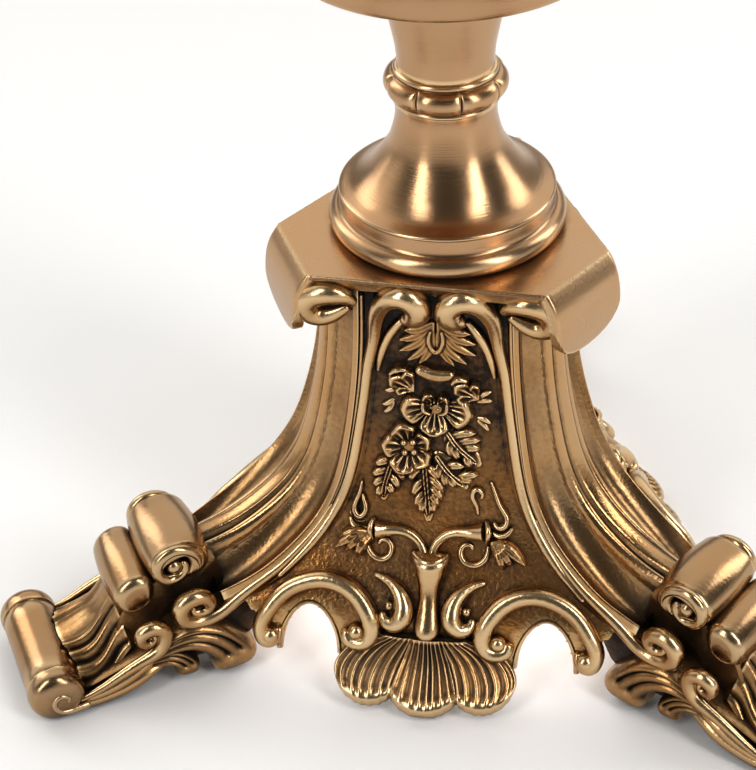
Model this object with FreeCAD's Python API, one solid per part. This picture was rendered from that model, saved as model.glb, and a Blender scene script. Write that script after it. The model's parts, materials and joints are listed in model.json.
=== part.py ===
import FreeCAD, Part
import math
import os
from FreeCAD import Vector

# Candle holder: three-legged cast brass base, turned stem, drip pan and pricket.
# Millimetres; origin on the axis at the floor; +Z up; one panel faces -Y.

# Heights
BASE_H = 127.0          # floor to the top of the cap plate
PLATE_T = 5.0           # cap plate thickness
BELL_H = 38.6           # bell foot, plate to collar
COLLAR_H = 9.6          # lobed collar
NECK_H = 32.3           # neck, collar to pan
PAN_H = 15.0            # drip pan, outside height
SPIKE_H = 64.0          # pricket above the neck

# Cap plate
PLATE_SIDE = 35.0       # axis to a long side
PLATE_CORNER = 45.5     # axis to a cut corner
EAR_DROP = 22.0         # ear below the plate top
EAR_FLARE = 4.5         # how far the ear swings out
EAR_T = 3.2

# Stem
BELL_R = 33.0           # torus ring of the bell
BELL_LIP_R = 29.5       # lower lip of the bell, over the band
BELL_TOP_R = 14.6
BELL_WALL = 4.5
COLLAR_R = 16.8         # over the lobes
LOBES = 8
NECK_FOOT_R = 13.1
NECK_TOP_R = 18.0
SPIGOT_R = 8.0          # neck spigot in the collar and bell
SPIGOT_IN_BELL = 8.0
PAN_BASE_R = 42.6
PAN_RIM_R = 48.0
PAN_T = 2.4
SEAT_R = 8.0            # pricket shoulder inside the pan's hole
SEAT_H = 7.0
SPIKE_R = 5.0
TIP_R = 0.8
FIT = 0.15              # clearance of pieces that stay put, on radius
LIFT_FIT = 0.4          # clearance of the pan on the pricket, on radius

# Tie rod and clamp
ROD_R = 4.0
ROD_FIT = 0.4
ROD_IN_SPIKE = 12.0
NUT_FLATS = 13.0
NUT_H = 6.5
WASHER_R = 9.0
WASHER_T = 1.6
SPIDER_T = 6.0
SPIDER_HUB_R = 13.0
SPIDER_ARM = 9.0        # arm width
LEDGE_Z = 72.0          # underside of the leg ledges
LEDGE_H = 7.0
LEDGE_IN = 9.0          # how far a ledge stands in from the leg
LEDGE_W = 12.0

# Legs
LEG_TOP_R = 38.0        # crest of the moulded band under the plate
KNEE_IN_R = 82.0        # where the band runs in under the knee roll
LEG_T = 12.0            # band thickness at the middle
KNEE_R = 92.0           # knee roll, radius of its middle
KNEE_Z = 39.5
ROLL_W = 14.0           # half length of the knee and counter rolls
COUNTER_R = 104.5       # counter roll
COUNTER_Z = 31.0
COUNTER_ROUND = 6.2
FOOT_W = 15.0           # half width of the fluted foot
STEM_W = 19.5           # half width over the side scrolls
LEAF_W = 24.0           # half width over the leaf lobes
TOE_R = 132.0           # toe axis
TOE_ROUND = 8.4
TOE_FLAT = 0.4          # depth of the flat filed on the toe caps
BARREL_ROUND = 8.1
BARREL_W = 15.5         # half length of the toe barrel
TOE_W = 22.4            # half length over the toe caps
PIN_R = 2.0

# Panels
PANEL_T = 3.5
PANEL_INSET = 1.5       # panel face behind the edge of the leg
PANEL_GAP = 0.15        # joint line between panel and leg
FRAME_W = 3.4
FRAME_H = 2.2
RELIEF_H = 3.4          # height of the flower spray
VASE_H = 4.6
ARCH_X = 34.5           # middle of an apron arch
ARCH_A = 9.0            # half width of the arch
ARCH_TOP = 26.0
SCROLL_W = 5.0
SCROLL_H = 3.6
APRON_Z = 11.0          # lower edge of the panel
CORNER_X = 46.0         # apron ball
BALL_R = 4.6
SHELL_T = 3.0
RIB_H = 2.2
SHELL_LOW = 1.2         # shell edge above the floor
SCREW_R = 1.5
SCREW_HEAD_R = 2.8
SCREW_HEAD_H = 2.0
SCREW_BITE = 2.5        # screw inside the panel
LUG_T = 5.0
LUG_W = 9.0
RIVET_R = 1.4

PLATE_LOW = BASE_H - PLATE_T
COLLAR_Z = BASE_H + BELL_H
NECK_Z = COLLAR_Z + COLLAR_H
PAN_Z = NECK_Z + NECK_H
TURN = math.radians(60.0)
LEG_ANGLES = (-30.0, 90.0, 210.0)
FACE_ANGLES = (0.0, 120.0, 240.0)
UP = Vector(0, 0, 1)
ORIGIN = Vector(0, 0, 0)


def spline(points):
    """Smooth edge through points."""
    curve = Part.BSplineCurve()
    curve.interpolate(points)
    return curve.toShape()


def line(a, b):
    return Part.makeLine(a, b)


def face_of(edges):
    """Flat face inside a closed run of edges."""
    return Part.Face(Part.Wire(Part.__sortEdges__(edges)))


def polygon_face(points):
    return Part.Face(Part.makePolygon(points + [points[0]]))


def turned(points, curves=()):
    """Solid of revolution of an (r, z) outline; runs of points named in curves are smooth."""
    edges = []
    at = [Vector(r, 0, z) for r, z in points]
    i = 0
    while i < len(at) - 1:
        last = next((b for a, b in curves if a == i), None)
        if last is None:
            edges.append(line(at[i], at[i + 1]))
            i += 1
        else:
            edges.append(spline(at[i:last + 1]))
            i = last
    edges.append(line(at[-1], at[0]))
    return face_of(edges).revolve(ORIGIN, UP, 360)


def rod(radius, low, high):
    return Part.makeCylinder(radius, high - low, Vector(0, 0, low))


def cross_rod(radius, r, z, a, b):
    """Cylinder along the leg's width, from a to b."""
    return Part.makeCylinder(radius, b - a, Vector(r, a, z), Vector(0, 1, 0))


def union(shapes):
    first = shapes[0]
    return first.fuse(shapes[1:]).removeSplitter() if len(shapes) > 1 else first


def turned_to(shape, angle):
    copy = shape.copy()
    copy.rotate(ORIGIN, UP, angle)
    return copy


def normals(points):
    """Outward unit normals of a smooth (r, z) line that runs down and out."""
    curve = Part.BSplineCurve()
    curve.interpolate([Vector(a, 0, b) for a, b in points])
    found = []
    for a, b in points:
        t = curve.tangent(curve.parameter(Vector(a, 0, b)))[0]
        found.append((-t.z, t.x))
    return found


def shifted(points, out):
    """The (r, z) line moved outward along its normals."""
    return [(a + out * n[0], b + out * n[1]) for (a, b), n in zip(points, normals(points))]


# Leg band: crest line as shares of its reach and height, with half width and depth of section.
LEG_SECTIONS = (
    (0.0, 1.0, 14.2, 1.0),
    (0.007, 0.902, 14.2, 1.0),
    (0.027, 0.795, 14.6, 1.0),
    (0.068, 0.689, 15.4, 1.0),
    (0.136, 0.582, 16.8, 1.02),
    (0.234, 0.488, 18.4, 1.08),
    (0.375, 0.42, 19.6, 1.2),
    (0.568, 0.369, 20.2, 1.45),
    (0.786, 0.334, 20.0, 1.85),
    (1.0, 0.316, 18.5, 2.3),
)
# Section of the band: share of the half width, depth below the crest.
BAND = (
    (0.0, 0.0),
    (0.28, 0.5),
    (0.4, 3.8),
    (0.58, 4.8),
    (0.75, 4.1),
    (0.81, 3.4),
    (0.87, 5.4),
    (1.0, 6.2),
)


def crest():
    """(r, z) of the leg's crest line, top to knee."""
    return [
        (LEG_TOP_R + share_r * (KNEE_IN_R - LEG_TOP_R), PLATE_LOW * share_z)
        for share_r, share_z, w, deep in LEG_SECTIONS
    ]


def leg_edge():
    """Edge of the band as (along the face, out from the axis, height) for the panel beside it."""
    rows = []
    for (r, z), (nr, nz), (_, _, w, deep) in zip(crest(), normals(crest()), LEG_SECTIONS):
        depth = BAND[-1][1] * deep
        edge_r = r - depth * nr
        rows.append((
            edge_r * math.sin(TURN) - w * math.cos(TURN),
            edge_r * math.cos(TURN) + w * math.sin(TURN),
            z - depth * nz,
        ))
    return rows


def face_line():
    """(out, height) of the panel's front, carried on down to the shell's edge."""
    rows = [(out - PANEL_INSET, z) for _, out, z in leg_edge()]
    out, z = rows[-1]
    rows[0] = (rows[1][0], BASE_H + PLATE_T)
    return rows + [(out + 4.5, z * 0.52), (out + 14.5, z * 0.12), (out + 21.0, -0.08 * z)]


def face_point(z, out=0.0):
    """Distance from the axis of the panel's front at height z, raised by out."""
    rows = shifted(face_line(), out)
    for (a, za), (b, zb) in zip(rows, rows[1:]):
        if za >= z >= zb:
            return a + (b - a) * (za - z) / (za - zb)
    return rows[-1][0]


def face_frame(x, z, out=0.0):
    """Point on the panel's front raised by out, at height z, and the outward normal there."""
    rows = face_line()
    slopes = normals(rows)
    for (_, za), (_, zb), (ar, az), (br, bz) in zip(rows, rows[1:], slopes, slopes[1:]):
        if za >= z >= zb:
            share = (za - z) / (za - zb)
            normal = Vector(0, -(ar + (br - ar) * share), az + (bz - az) * share)
            break
    return Vector(x, -face_point(z, out), z), normal.normalize()


def zone(low, high):
    """Layer of the front face between two heights above its surface."""
    inner = [Vector(0, -a, b) for a, b in shifted(face_line(), low)]
    outer = [Vector(0, -a, b) for a, b in shifted(face_line(), high)]
    section = face_of([
        spline(inner),
        spline(outer),
        line(inner[0], outer[0]),
        line(inner[-1], outer[-1]),
    ])
    section.translate(Vector(-TOE_R / 2, 0, 0))
    return section.extrude(Vector(TOE_R, 0, 0))


def through(face):
    """Prism of a flat XZ face right through the front of the base."""
    return face.extrude(Vector(0, -TOE_R, 0))


def at(x, z):
    return Vector(x, 0, z)


def side_outline(inset, low):
    """Panel outline between the legs, in front view, drawn in by inset and cut off at low."""
    rows = [(x - inset, z) for x, _, z in leg_edge()]
    right = [at(x, z) for x, z in rows]
    left = [at(-x, z) for x, z in rows]
    edges = [spline(right), spline(left), line(right[0], left[0])]
    foot_right = at(rows[-1][0] - 9.0 + inset, low)
    foot_left = at(-rows[-1][0] + 9.0 - inset, low)
    edges.append(line(right[-1], foot_right))
    edges.append(line(foot_right, foot_left))
    edges.append(line(foot_left, left[-1]))
    return face_of(edges)


def disc(x, z, radius):
    return Part.Face(Part.Wire(Part.makeCircle(radius, at(x, z), Vector(0, 1, 0))))


def oval(x, z, across, high):
    """Flat ellipse in front view."""
    upright = high > across
    axis = Vector(0, 0, 1) if upright else Vector(1, 0, 0)
    side = Vector(1, 0, 0) if upright else Vector(0, 0, 1)
    big = max(across, high)
    small = min(across, high)
    curve = Part.Ellipse(at(x, z) + axis * big, at(x, z) + side * small, at(x, z))
    return Part.Face(Part.Wire(curve.toShape()))


def tilted(face, x, z, angle):
    face.rotate(at(x, z), Vector(0, 1, 0), angle)
    return face


# Stem
def bell_foot():
    z = BASE_H
    lip = z + BELL_H * 0.275
    points = [
        (0, z),
        (BELL_R - 3.1, z),
        (BELL_R, z + 3.1),
        (BELL_R - 2.0, z + 6.0),
        (BELL_R - 2.6, lip - 1.2),
        (BELL_LIP_R - 0.5, lip - 0.6),
        (BELL_LIP_R, lip),
        (BELL_LIP_R * 0.89, z + BELL_H * 0.326),
        (BELL_LIP_R * 0.742, z + BELL_H * 0.427),
        (BELL_LIP_R * 0.607, z + BELL_H * 0.57),
        (BELL_LIP_R * 0.537, z + BELL_H * 0.66),
        (BELL_LIP_R * 0.491, z + BELL_H * 0.764),
        (BELL_TOP_R - 0.9, z + BELL_H * 0.88),
        (BELL_TOP_R - 0.3, z + BELL_H),
        (0, z + BELL_H),
    ]
    body = turned(points, curves=((1, 3), (6, 13)))
    hollow = turned([
        (0, z),
        (BELL_R - 3.1 - BELL_WALL, z),
        (BELL_LIP_R - BELL_WALL, z + BELL_H * 0.16),
        (BELL_LIP_R * 0.8 - BELL_WALL, z + BELL_H * 0.36),
        (BELL_TOP_R - BELL_WALL, z + BELL_H - SPIGOT_IN_BELL - BELL_WALL),
        (0, z + BELL_H - SPIGOT_IN_BELL - BELL_WALL),
    ])
    socket = rod(SPIGOT_R + FIT, COLLAR_Z - SPIGOT_IN_BELL, COLLAR_Z + 1)
    return body.cut([hollow, socket, rod(ROD_R + ROD_FIT, z, COLLAR_Z)])


def collar_ring():
    z = COLLAR_Z
    core = COLLAR_R - 3.2
    body = turned([
        (SPIGOT_R + FIT, z),
        (BELL_TOP_R, z),
        (BELL_TOP_R, z + 1.6),
        (core, z + 2.2),
        (core, z + COLLAR_H - 2.4),
        (NECK_FOOT_R + 0.9, z + COLLAR_H - 1.8),
        (NECK_FOOT_R + 0.9, z + COLLAR_H),
        (SPIGOT_R + FIT, z + COLLAR_H),
    ])
    half = math.pi / LOBES
    ring = COLLAR_R / (1.0 + math.sin(half))
    ball = Part.makeSphere(ring * math.sin(half) * 1.03)
    flat = FreeCAD.Matrix()
    flat.scale(1.0, 1.0, 0.66)
    lobe = ball.transformGeometry(flat)
    lobe.translate(Vector(ring, 0, z + 1.6 + (COLLAR_H - 3.4) / 2))
    lobes = [turned_to(lobe, 360.0 * i / LOBES) for i in range(LOBES)]
    bore = rod(SPIGOT_R + FIT, z - 1, z + COLLAR_H + 1)
    return body.fuse(lobes).cut(bore)


def neck():
    z = NECK_Z
    rise = NECK_TOP_R - NECK_FOOT_R
    spigot_low = COLLAR_Z - SPIGOT_IN_BELL
    return turned([
        (ROD_R + ROD_FIT, spigot_low),
        (SPIGOT_R, spigot_low),
        (SPIGOT_R, z),
        (NECK_FOOT_R, z),
        (NECK_FOOT_R + 0.06 * rise, z + 0.25 * NECK_H),
        (NECK_FOOT_R + 0.25 * rise, z + 0.5 * NECK_H),
        (NECK_FOOT_R + 0.6 * rise, z + 0.8 * NECK_H),
        (NECK_TOP_R, PAN_Z),
        (ROD_R + ROD_FIT, PAN_Z),
    ], curves=((3, 7),))


def drip_pan():
    z = PAN_Z
    hole = SEAT_R + LIFT_FIT
    top = z + PAN_H
    return turned([
        (hole, z),
        (PAN_BASE_R - 2.0, z),
        (PAN_BASE_R, z + 1.6),
        (PAN_BASE_R + (PAN_RIM_R - PAN_BASE_R) * 0.35, z + PAN_H * 0.5),
        (PAN_RIM_R - 0.8, top - 2.0),
        (PAN_RIM_R, top - 1.2),
        (PAN_RIM_R - 1.0, top),
        (PAN_RIM_R - PAN_T - 0.6, top - 0.6),
        (PAN_RIM_R - PAN_T - 1.2, top - 2.4),
        (PAN_BASE_R + (PAN_RIM_R - PAN_BASE_R) * 0.35 - PAN_T, z + PAN_H * 0.5),
        (PAN_BASE_R - PAN_T, z + PAN_T + 1.6),
        (PAN_BASE_R - PAN_T - 2.0, z + PAN_T),
        (hole, z + PAN_T),
    ], curves=((1, 4), (4, 8), (8, 11)))


def pricket():
    z = PAN_Z
    body = turned([
        (0, z),
        (SEAT_R, z),
        (SEAT_R, z + SEAT_H - 1.0),
        (SEAT_R - 1.0, z + SEAT_H),
        (SPIKE_R, z + SEAT_H),
        (SPIKE_R * 0.72, z + SEAT_H + (SPIKE_H - SEAT_H) * 0.4),
        (TIP_R, z + SPIKE_H - TIP_R),
        (0, z + SPIKE_H),
    ])
    return body.cut(rod(ROD_R, z - 1, z + ROD_IN_SPIKE))


SPIDER_TOP = LEDGE_Z
SPIDER_LOW = LEDGE_Z - SPIDER_T
NUT_TOP = SPIDER_LOW - WASHER_T
ROD_LOW = NUT_TOP - NUT_H - 3.0


def tie_rod():
    return rod(ROD_R, ROD_LOW, PAN_Z + ROD_IN_SPIKE)


def rod_washer():
    return rod(WASHER_R, NUT_TOP, SPIDER_LOW).cut(rod(ROD_R + ROD_FIT, NUT_TOP, SPIDER_LOW))


def rod_nut():
    across = NUT_FLATS / math.sqrt(3.0)
    corners = [
        Vector(across * math.cos(TURN * i), across * math.sin(TURN * i), NUT_TOP - NUT_H)
        for i in range(6)
    ]
    body = polygon_face(corners).extrude(Vector(0, 0, NUT_H))
    return body.cut(rod(ROD_R, NUT_TOP - NUT_H, NUT_TOP))


def ledge_reach():
    """Radius of the leg's inner wall at the ledges."""
    rows = shifted(crest(), -LEG_T)
    for (a, za), (b, zb) in zip(rows, rows[1:]):
        if za >= LEDGE_Z + LEDGE_H >= zb:
            return a + (b - a) * (za - LEDGE_Z - LEDGE_H) / (za - zb)
    return rows[0][0]


def clamp_spider():
    hub = rod(SPIDER_HUB_R, SPIDER_LOW, SPIDER_TOP)
    reach = ledge_reach() - 1.5
    arm = Part.makeBox(reach, SPIDER_ARM, SPIDER_T, Vector(0, -SPIDER_ARM / 2, SPIDER_LOW))
    arms = [turned_to(arm, angle) for angle in LEG_ANGLES]
    return union([hub] + arms).cut(rod(ROD_R + ROD_FIT, SPIDER_LOW, SPIDER_TOP))


# Cap plate
def cap_plate():
    apex = 2.0 * PLATE_SIDE
    half = (apex - PLATE_CORNER) * math.tan(TURN / 2)
    corners = []
    for angle in LEG_ANGLES:
        a = math.radians(angle)
        across = Vector(-math.sin(a), math.cos(a), 0)
        out = Vector(math.cos(a), math.sin(a), 0) * PLATE_CORNER
        corners.append(out - across * half + Vector(0, 0, PLATE_LOW))
        corners.append(out + across * half + Vector(0, 0, PLATE_LOW))
    slab = polygon_face(corners).extrude(Vector(0, 0, PLATE_T))
    outer = [
        Vector(PLATE_CORNER, 0, BASE_H),
        Vector(PLATE_CORNER + EAR_FLARE * 0.55, 0, BASE_H - EAR_DROP * 0.16),
        Vector(PLATE_CORNER + EAR_FLARE * 0.95, 0, BASE_H - EAR_DROP * 0.45),
        Vector(PLATE_CORNER + EAR_FLARE, 0, BASE_H - EAR_DROP * 0.75),
        Vector(PLATE_CORNER + EAR_FLARE * 0.9, 0, BASE_H - EAR_DROP),
    ]
    inner = [p - Vector(EAR_T, 0, 0) for p in outer]
    edges = [spline(outer), spline(inner), line(outer[0], inner[0]), line(outer[-1], inner[-1])]
    tongue = face_of(edges)
    tongue.translate(Vector(0, -half, 0))
    tongue = tongue.extrude(Vector(0, 2 * half, 0))
    low = BASE_H - EAR_DROP
    rim = [Vector(0, y * half, low + h * EAR_DROP) for y, h in
           ((-1, 0.5), (-0.86, 0.22), (-0.5, 0.05), (0, 0), (0.5, 0.05), (0.86, 0.22), (1, 0.5))]
    top_left = Vector(0, -half, BASE_H)
    top_right = Vector(0, half, BASE_H)
    shape = face_of([
        spline(rim),
        line(rim[-1], top_right),
        line(top_right, top_left),
        line(top_left, rim[0]),
    ]).extrude(Vector(TOE_R, 0, 0))
    ear = tongue.common(shape)
    ears = [turned_to(ear, angle) for angle in LEG_ANGLES]
    return union([slab] + ears).cut(rod(ROD_R + ROD_FIT, PLATE_LOW - 1, BASE_H + 1))


# Legs, drawn with the leg along +X and its width along Y
def leg_band():
    """Moulded band, lofted down the crest line."""
    wires = []
    for (r, z), (nr, nz), (_, _, w, deep) in zip(crest(), normals(crest()), LEG_SECTIONS):
        half = [(share * w, depth * deep) for share, depth in BAND]
        back = max(LEG_T, half[-1][1] + 2.5)
        ring = [(-s, d) for s, d in reversed(half[1:])] + half + [(w, back), (-w, back)]
        corners = [Vector(r - d * nr, s, z - d * nz) for s, d in ring]
        wires.append(Part.makePolygon(corners + [corners[0]]))
    return Part.makeLoft(wires, True, False)


def across(face, a, b):
    """Prism of an upright face from a to b across the leg."""
    face.translate(Vector(0, a, 0))
    return face.extrude(Vector(0, b - a, 0))


def smooth_ring(points):
    curve = Part.BSplineCurve()
    curve.interpolate([Vector(r, 0, z) for r, z in points], PeriodicFlag=True)
    return Part.Face(Part.Wire(curve.toShape()))


def upright(points):
    return polygon_face([Vector(r, 0, z) for r, z in points])


def toe_z():
    return TOE_ROUND - TOE_FLAT


def both_sides(shape):
    return [shape, shape.mirror(ORIGIN, Vector(0, 1, 0))]


def rosette_inner():
    return KNEE_R - 5.0, KNEE_Z - 14.5


def rosette_outer():
    return COUNTER_R - 3.5, COUNTER_Z - 10.5


def leg_solid():
    knee = across(smooth_ring([
        (KNEE_R - 11.5, KNEE_Z - 3.0),
        (KNEE_R - 10.5, KNEE_Z + 3.0),
        (KNEE_R - 5.0, KNEE_Z + 6.8),
        (KNEE_R + 1.5, KNEE_Z + 6.4),
        (KNEE_R + 7.0, KNEE_Z + 2.0),
        (KNEE_R + 6.8, KNEE_Z - 3.6),
        (KNEE_R + 1.5, KNEE_Z - 6.6),
        (KNEE_R - 6.0, KNEE_Z - 6.8),
    ]), -ROLL_W, ROLL_W)
    counter = cross_rod(COUNTER_ROUND, COUNTER_R, COUNTER_Z, -ROLL_W, ROLL_W)
    tz = toe_z()
    foot = across(upright([
        (KNEE_IN_R - 4.0, KNEE_Z - 4.0),
        (KNEE_R + 4.0, KNEE_Z - 5.0),
        (COUNTER_R + 3.0, COUNTER_Z - 3.0),
        (COUNTER_R + 9.0, COUNTER_Z - 11.0),
        (TOE_R - BARREL_ROUND - 3.0, tz + 3.5),
        (TOE_R - BARREL_ROUND - 0.6, tz),
        (TOE_R - BARREL_ROUND - 2.0, 2.0),
        (COUNTER_R + 4.0, 5.0),
        (KNEE_R + 3.0, 11.0),
        (KNEE_R - 8.0, 20.0),
        (KNEE_IN_R - 6.0, KNEE_Z - 14.0),
    ]), -FOOT_W, FOOT_W)
    ra, za = rosette_inner()
    rb, zb = rosette_outer()
    stem = across(smooth_ring([
        (rb - 5.0, zb),
        (rb + 3.0, zb + 1.6),
        (rb + 12.0, zb - 6.0),
        (TOE_R - 6.0, tz + 4.0),
        (TOE_R, tz),
        (TOE_R - 7.0, 1.2),
        (rb + 8.0, 4.4),
        (rb - 3.0, 9.0),
    ]), FOOT_W - 1.0, STEM_W)
    leaf = union([
        across(disc(KNEE_R - 11.0, 8.8, 7.8), FOOT_W - 1.0, LEAF_W),
        across(disc(KNEE_R + 1.0, 9.6, 5.8), FOOT_W - 1.0, LEAF_W - 1.5),
        across(upright([
            (KNEE_R - 13.0, za),
            (KNEE_R - 17.0, 11.0),
            (KNEE_R - 6.0, 4.0),
            (KNEE_R + 5.0, 12.0),
            (KNEE_R + 4.0, zb),
        ]), FOOT_W - 1.0, LEAF_W - 3.0),
    ])
    cap = cross_rod(TOE_ROUND, TOE_R, tz, BARREL_W + FIT, TOE_W)
    bridge = across(upright([
        (TOE_R - 14.0, tz + 2.0),
        (TOE_R, tz + 2.0),
        (TOE_R, tz - 5.0),
        (TOE_R - 14.0, 2.0),
    ]), BARREL_W + FIT, STEM_W)
    side = union([
        stem,
        cross_rod(5.6, ra, za, ROLL_W - 3.0, STEM_W),
        cross_rod(5.0, rb, zb, FOOT_W - 1.0, STEM_W + 0.6),
        leaf,
        cap,
        bridge,
    ])
    ledge_r = ledge_reach()
    ledge = Part.makeBox(
        LEDGE_IN + 4.0, LEDGE_W, LEDGE_H, Vector(ledge_r - LEDGE_IN, -LEDGE_W / 2, LEDGE_Z)
    )
    body = union([leg_band(), knee, counter, foot, ledge] + both_sides(side))
    body = body.common(
        Part.makeBox(3 * TOE_R, 2 * TOE_R, PLATE_LOW, Vector(-TOE_R, -TOE_R, 0))
    )
    barrel_room = cross_rod(BARREL_ROUND + 0.3, TOE_R, tz, -BARREL_W - FIT, BARREL_W + FIT)
    pin_hole = cross_rod(PIN_R, TOE_R, tz, -TOE_W + 2.0, TOE_W - 2.0)
    return body.cut([barrel_room, pin_hole])


def toe_barrel():
    body = cross_rod(BARREL_ROUND, TOE_R, toe_z(), -BARREL_W, BARREL_W)
    body = body.cut(cross_rod(PIN_R, TOE_R, toe_z(), -BARREL_W, BARREL_W))
    return body.common(
        Part.makeBox(2 * TOE_R, 2 * TOE_R, TOE_R, Vector(0, -TOE_R, 0))
    )


def toe_pin():
    return cross_rod(PIN_R, TOE_R, toe_z(), -TOE_W + 2.0, TOE_W - 2.0)


# Front face pieces
def lug_heights():
    return PLATE_LOW * 0.86, PLATE_LOW * 0.5


def edge_at(z):
    """Half width of the panel at height z."""
    rows = leg_edge()
    for (a, _, za), (b, _, zb) in zip(rows, rows[1:]):
        if za >= z >= zb:
            return a + (b - a) * (za - z) / (za - zb)
    return rows[0][0]


def screw_spots():
    """(x, z) of the panel screws on the right half."""
    return [(edge_at(z) - 5.5, z) for z in lug_heights()]


def screw(x, z):
    """Screw from inside, through a lug into the panel: shank and head."""
    point, normal = face_frame(x, z, -PANEL_T)
    inward = normal * -1.0
    shank = Part.makeCylinder(
        SCREW_R, LUG_T + SCREW_BITE, point + normal * SCREW_BITE, inward
    )
    head = Part.makeCylinder(SCREW_HEAD_R, SCREW_HEAD_H, point + inward * LUG_T, inward)
    return shank, head


def lug(x, z):
    """Lug behind the panel, reaching out to the leg."""
    half = LUG_W / 2
    block = polygon_face([
        at(x - half, z - half),
        at(x + LUG_W, z - half),
        at(x + LUG_W, z + half),
        at(x - half, z + half),
    ])
    return zone(-PANEL_T - LUG_T, -PANEL_T).common(through(block))


def arch(grow):
    """Apron arch opening in front view, widened by grow."""
    return oval(ARCH_X, APRON_Z, ARCH_A + grow, ARCH_TOP - APRON_Z + grow)


def mirrored(shape):
    return [shape, shape.mirror(ORIGIN, Vector(1, 0, 0))]


def vase_face():
    side = [(5.4, 40.0), (3.0, 33.5), (4.7, 27.0), (3.6, 20.0), (0.0, 17.5)]
    right = [at(x, z) for x, z in side]
    left = [at(-x, z) for x, z in side]
    return face_of([spline(right), spline(left), line(right[0], left[0])])


def side_panel():
    skin = zone(-PANEL_T, 0.0)
    outline = through(side_outline(0.0, APRON_Z))
    plate = skin.common(outline)
    frame = zone(-PANEL_T / 2, FRAME_H).common(
        outline.cut(through(side_outline(FRAME_W, APRON_Z - 20.0)))
    )
    high = zone(-PANEL_T / 2, SCROLL_H)
    scroll = high.common(outline).common(
        through(arch(SCROLL_W)).cut(through(arch(0.0)))
    )
    ball = Part.makeSphere(BALL_R, Vector(CORNER_X, -face_point(15.0, 0.6), 15.0))
    curl = Part.makeSphere(3.8, Vector(ARCH_X - ARCH_A - 4.6, -face_point(15.0, 1.0), 15.0))
    top_scroll = Part.makeTorus(
        5.4, 2.3, Vector(8.2, -face_point(113.0, 0.9), PLATE_LOW - 8.6), Vector(0, 1, 0)
    )
    stem_ring = disc(10.5, 43.0, 7.4).cut(disc(10.5, 43.0, 5.2))
    stem = zone(-PANEL_T / 2, 2.0).common(through(stem_ring))
    vase = zone(-PANEL_T / 2, VASE_H).common(through(vase_face()))
    palmette = [
        zone(-PANEL_T / 2, 1.8).common(
            through(tilted(oval(0.0, PLATE_LOW - 20.5, 2.2, 5.4), 0.0, PLATE_LOW - 13.0, turn))
        )
        for turn in (-62.0, -31.0, 0.0, 31.0, 62.0)
    ]
    added = [frame, vase] + palmette
    for shape in (scroll, ball, curl, top_scroll, stem):
        added += mirrored(shape)
    body = plate.fuse(added)
    openings = []
    for shape in mirrored(through(arch(0.0))):
        openings.append(shape)
    above = Part.makeBox(2 * TOE_R, TOE_R, TOE_R, Vector(-TOE_R, -TOE_R, PLATE_LOW))
    body = body.cut(openings + [above])
    holes = []
    for x, z in screw_spots():
        holes += mirrored(screw(x, z)[0])
    for x, z in rivet_spots() + pin_spots():
        holes.append(rivet(x, z))
    return body.cut(holes)


def panel_room():
    """Space the panel takes from the legs: its outline with a joint gap, back face to far out."""
    return zone(-PANEL_T, 12.0).common(through(side_outline(-PANEL_GAP, APRON_Z)))


UPPER_FLOWER = (0.4, 82.0)
LOWER_FLOWER = (-7.4, 69.5)
# Buds, ribbon, leaves and stalks of the spray as swellings: along the face, height, radius.
SWELLINGS = (
    (-9.0, 89.0, 3.6), (-5.6, 86.4, 3.0), (9.2, 88.6, 3.4), (5.8, 86.4, 3.0),
    (-3.0, 91.2, 2.5), (0.2, 91.8, 2.6), (3.2, 91.2, 2.5),
    (-3.6, 75.8, 3.7),
    (4.6, 74.8, 3.5), (8.0, 72.6, 3.6), (11.0, 70.6, 3.0), (13.4, 69.0, 2.2),
    (-10.0, 64.6, 3.3), (-11.6, 61.6, 3.0), (-12.9, 58.8, 2.2),
    (-4.2, 64.2, 3.5), (-3.0, 60.6, 3.4), (-2.1, 57.2, 3.0), (-1.6, 53.8, 2.2),
    (-0.2, 66.4, 3.5), (2.8, 64.2, 3.2), (5.3, 61.7, 2.8), (7.2, 59.5, 2.0),
)


def swelling(x, z, radius, sink):
    """Ball sunk into the panel by a share of its radius."""
    centre, _ = face_frame(x, z, -sink * radius)
    return Part.makeSphere(radius, centre)


def flower(x, z, reach, petal, turn):
    """Five round petals about a raised heart."""
    found = [swelling(x, z, petal * 0.75, 0.0)]
    for i in range(5):
        a = math.radians(turn + 72.0 * i)
        found.append(swelling(x + reach * math.cos(a), z + reach * math.sin(a), petal, 0.36))
    return found


def flower_spray():
    """Two flowers, buds and leaves, one casting that lies on the panel."""
    lumps = flower(*UPPER_FLOWER, RELIEF_H * 1.4, RELIEF_H * 1.18, 90.0)
    lumps += flower(*LOWER_FLOWER, RELIEF_H * 1.26, RELIEF_H * 1.06, 54.0)
    lumps += [swelling(x, z, radius, 0.36) for x, z, radius in SWELLINGS]
    body = lumps[0].fuse(lumps[1:])
    return body.cut([zone(-3 * RELIEF_H, 0.0)] + [rivet(x, z) for x, z in pin_spots()])


def pin_spots():
    return [UPPER_FLOWER, LOWER_FLOWER]


def rivet_spots():
    return [(-8.5, APRON_Z + 4.6), (8.5, APRON_Z + 4.6)]


def rivet(x, z):
    """Rivet from the back of the panel into the casting on its front."""
    point, normal = face_frame(x, z, -PANEL_T)
    return Part.makeCylinder(RIVET_R, PANEL_T + 1.8, point, normal)


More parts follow.
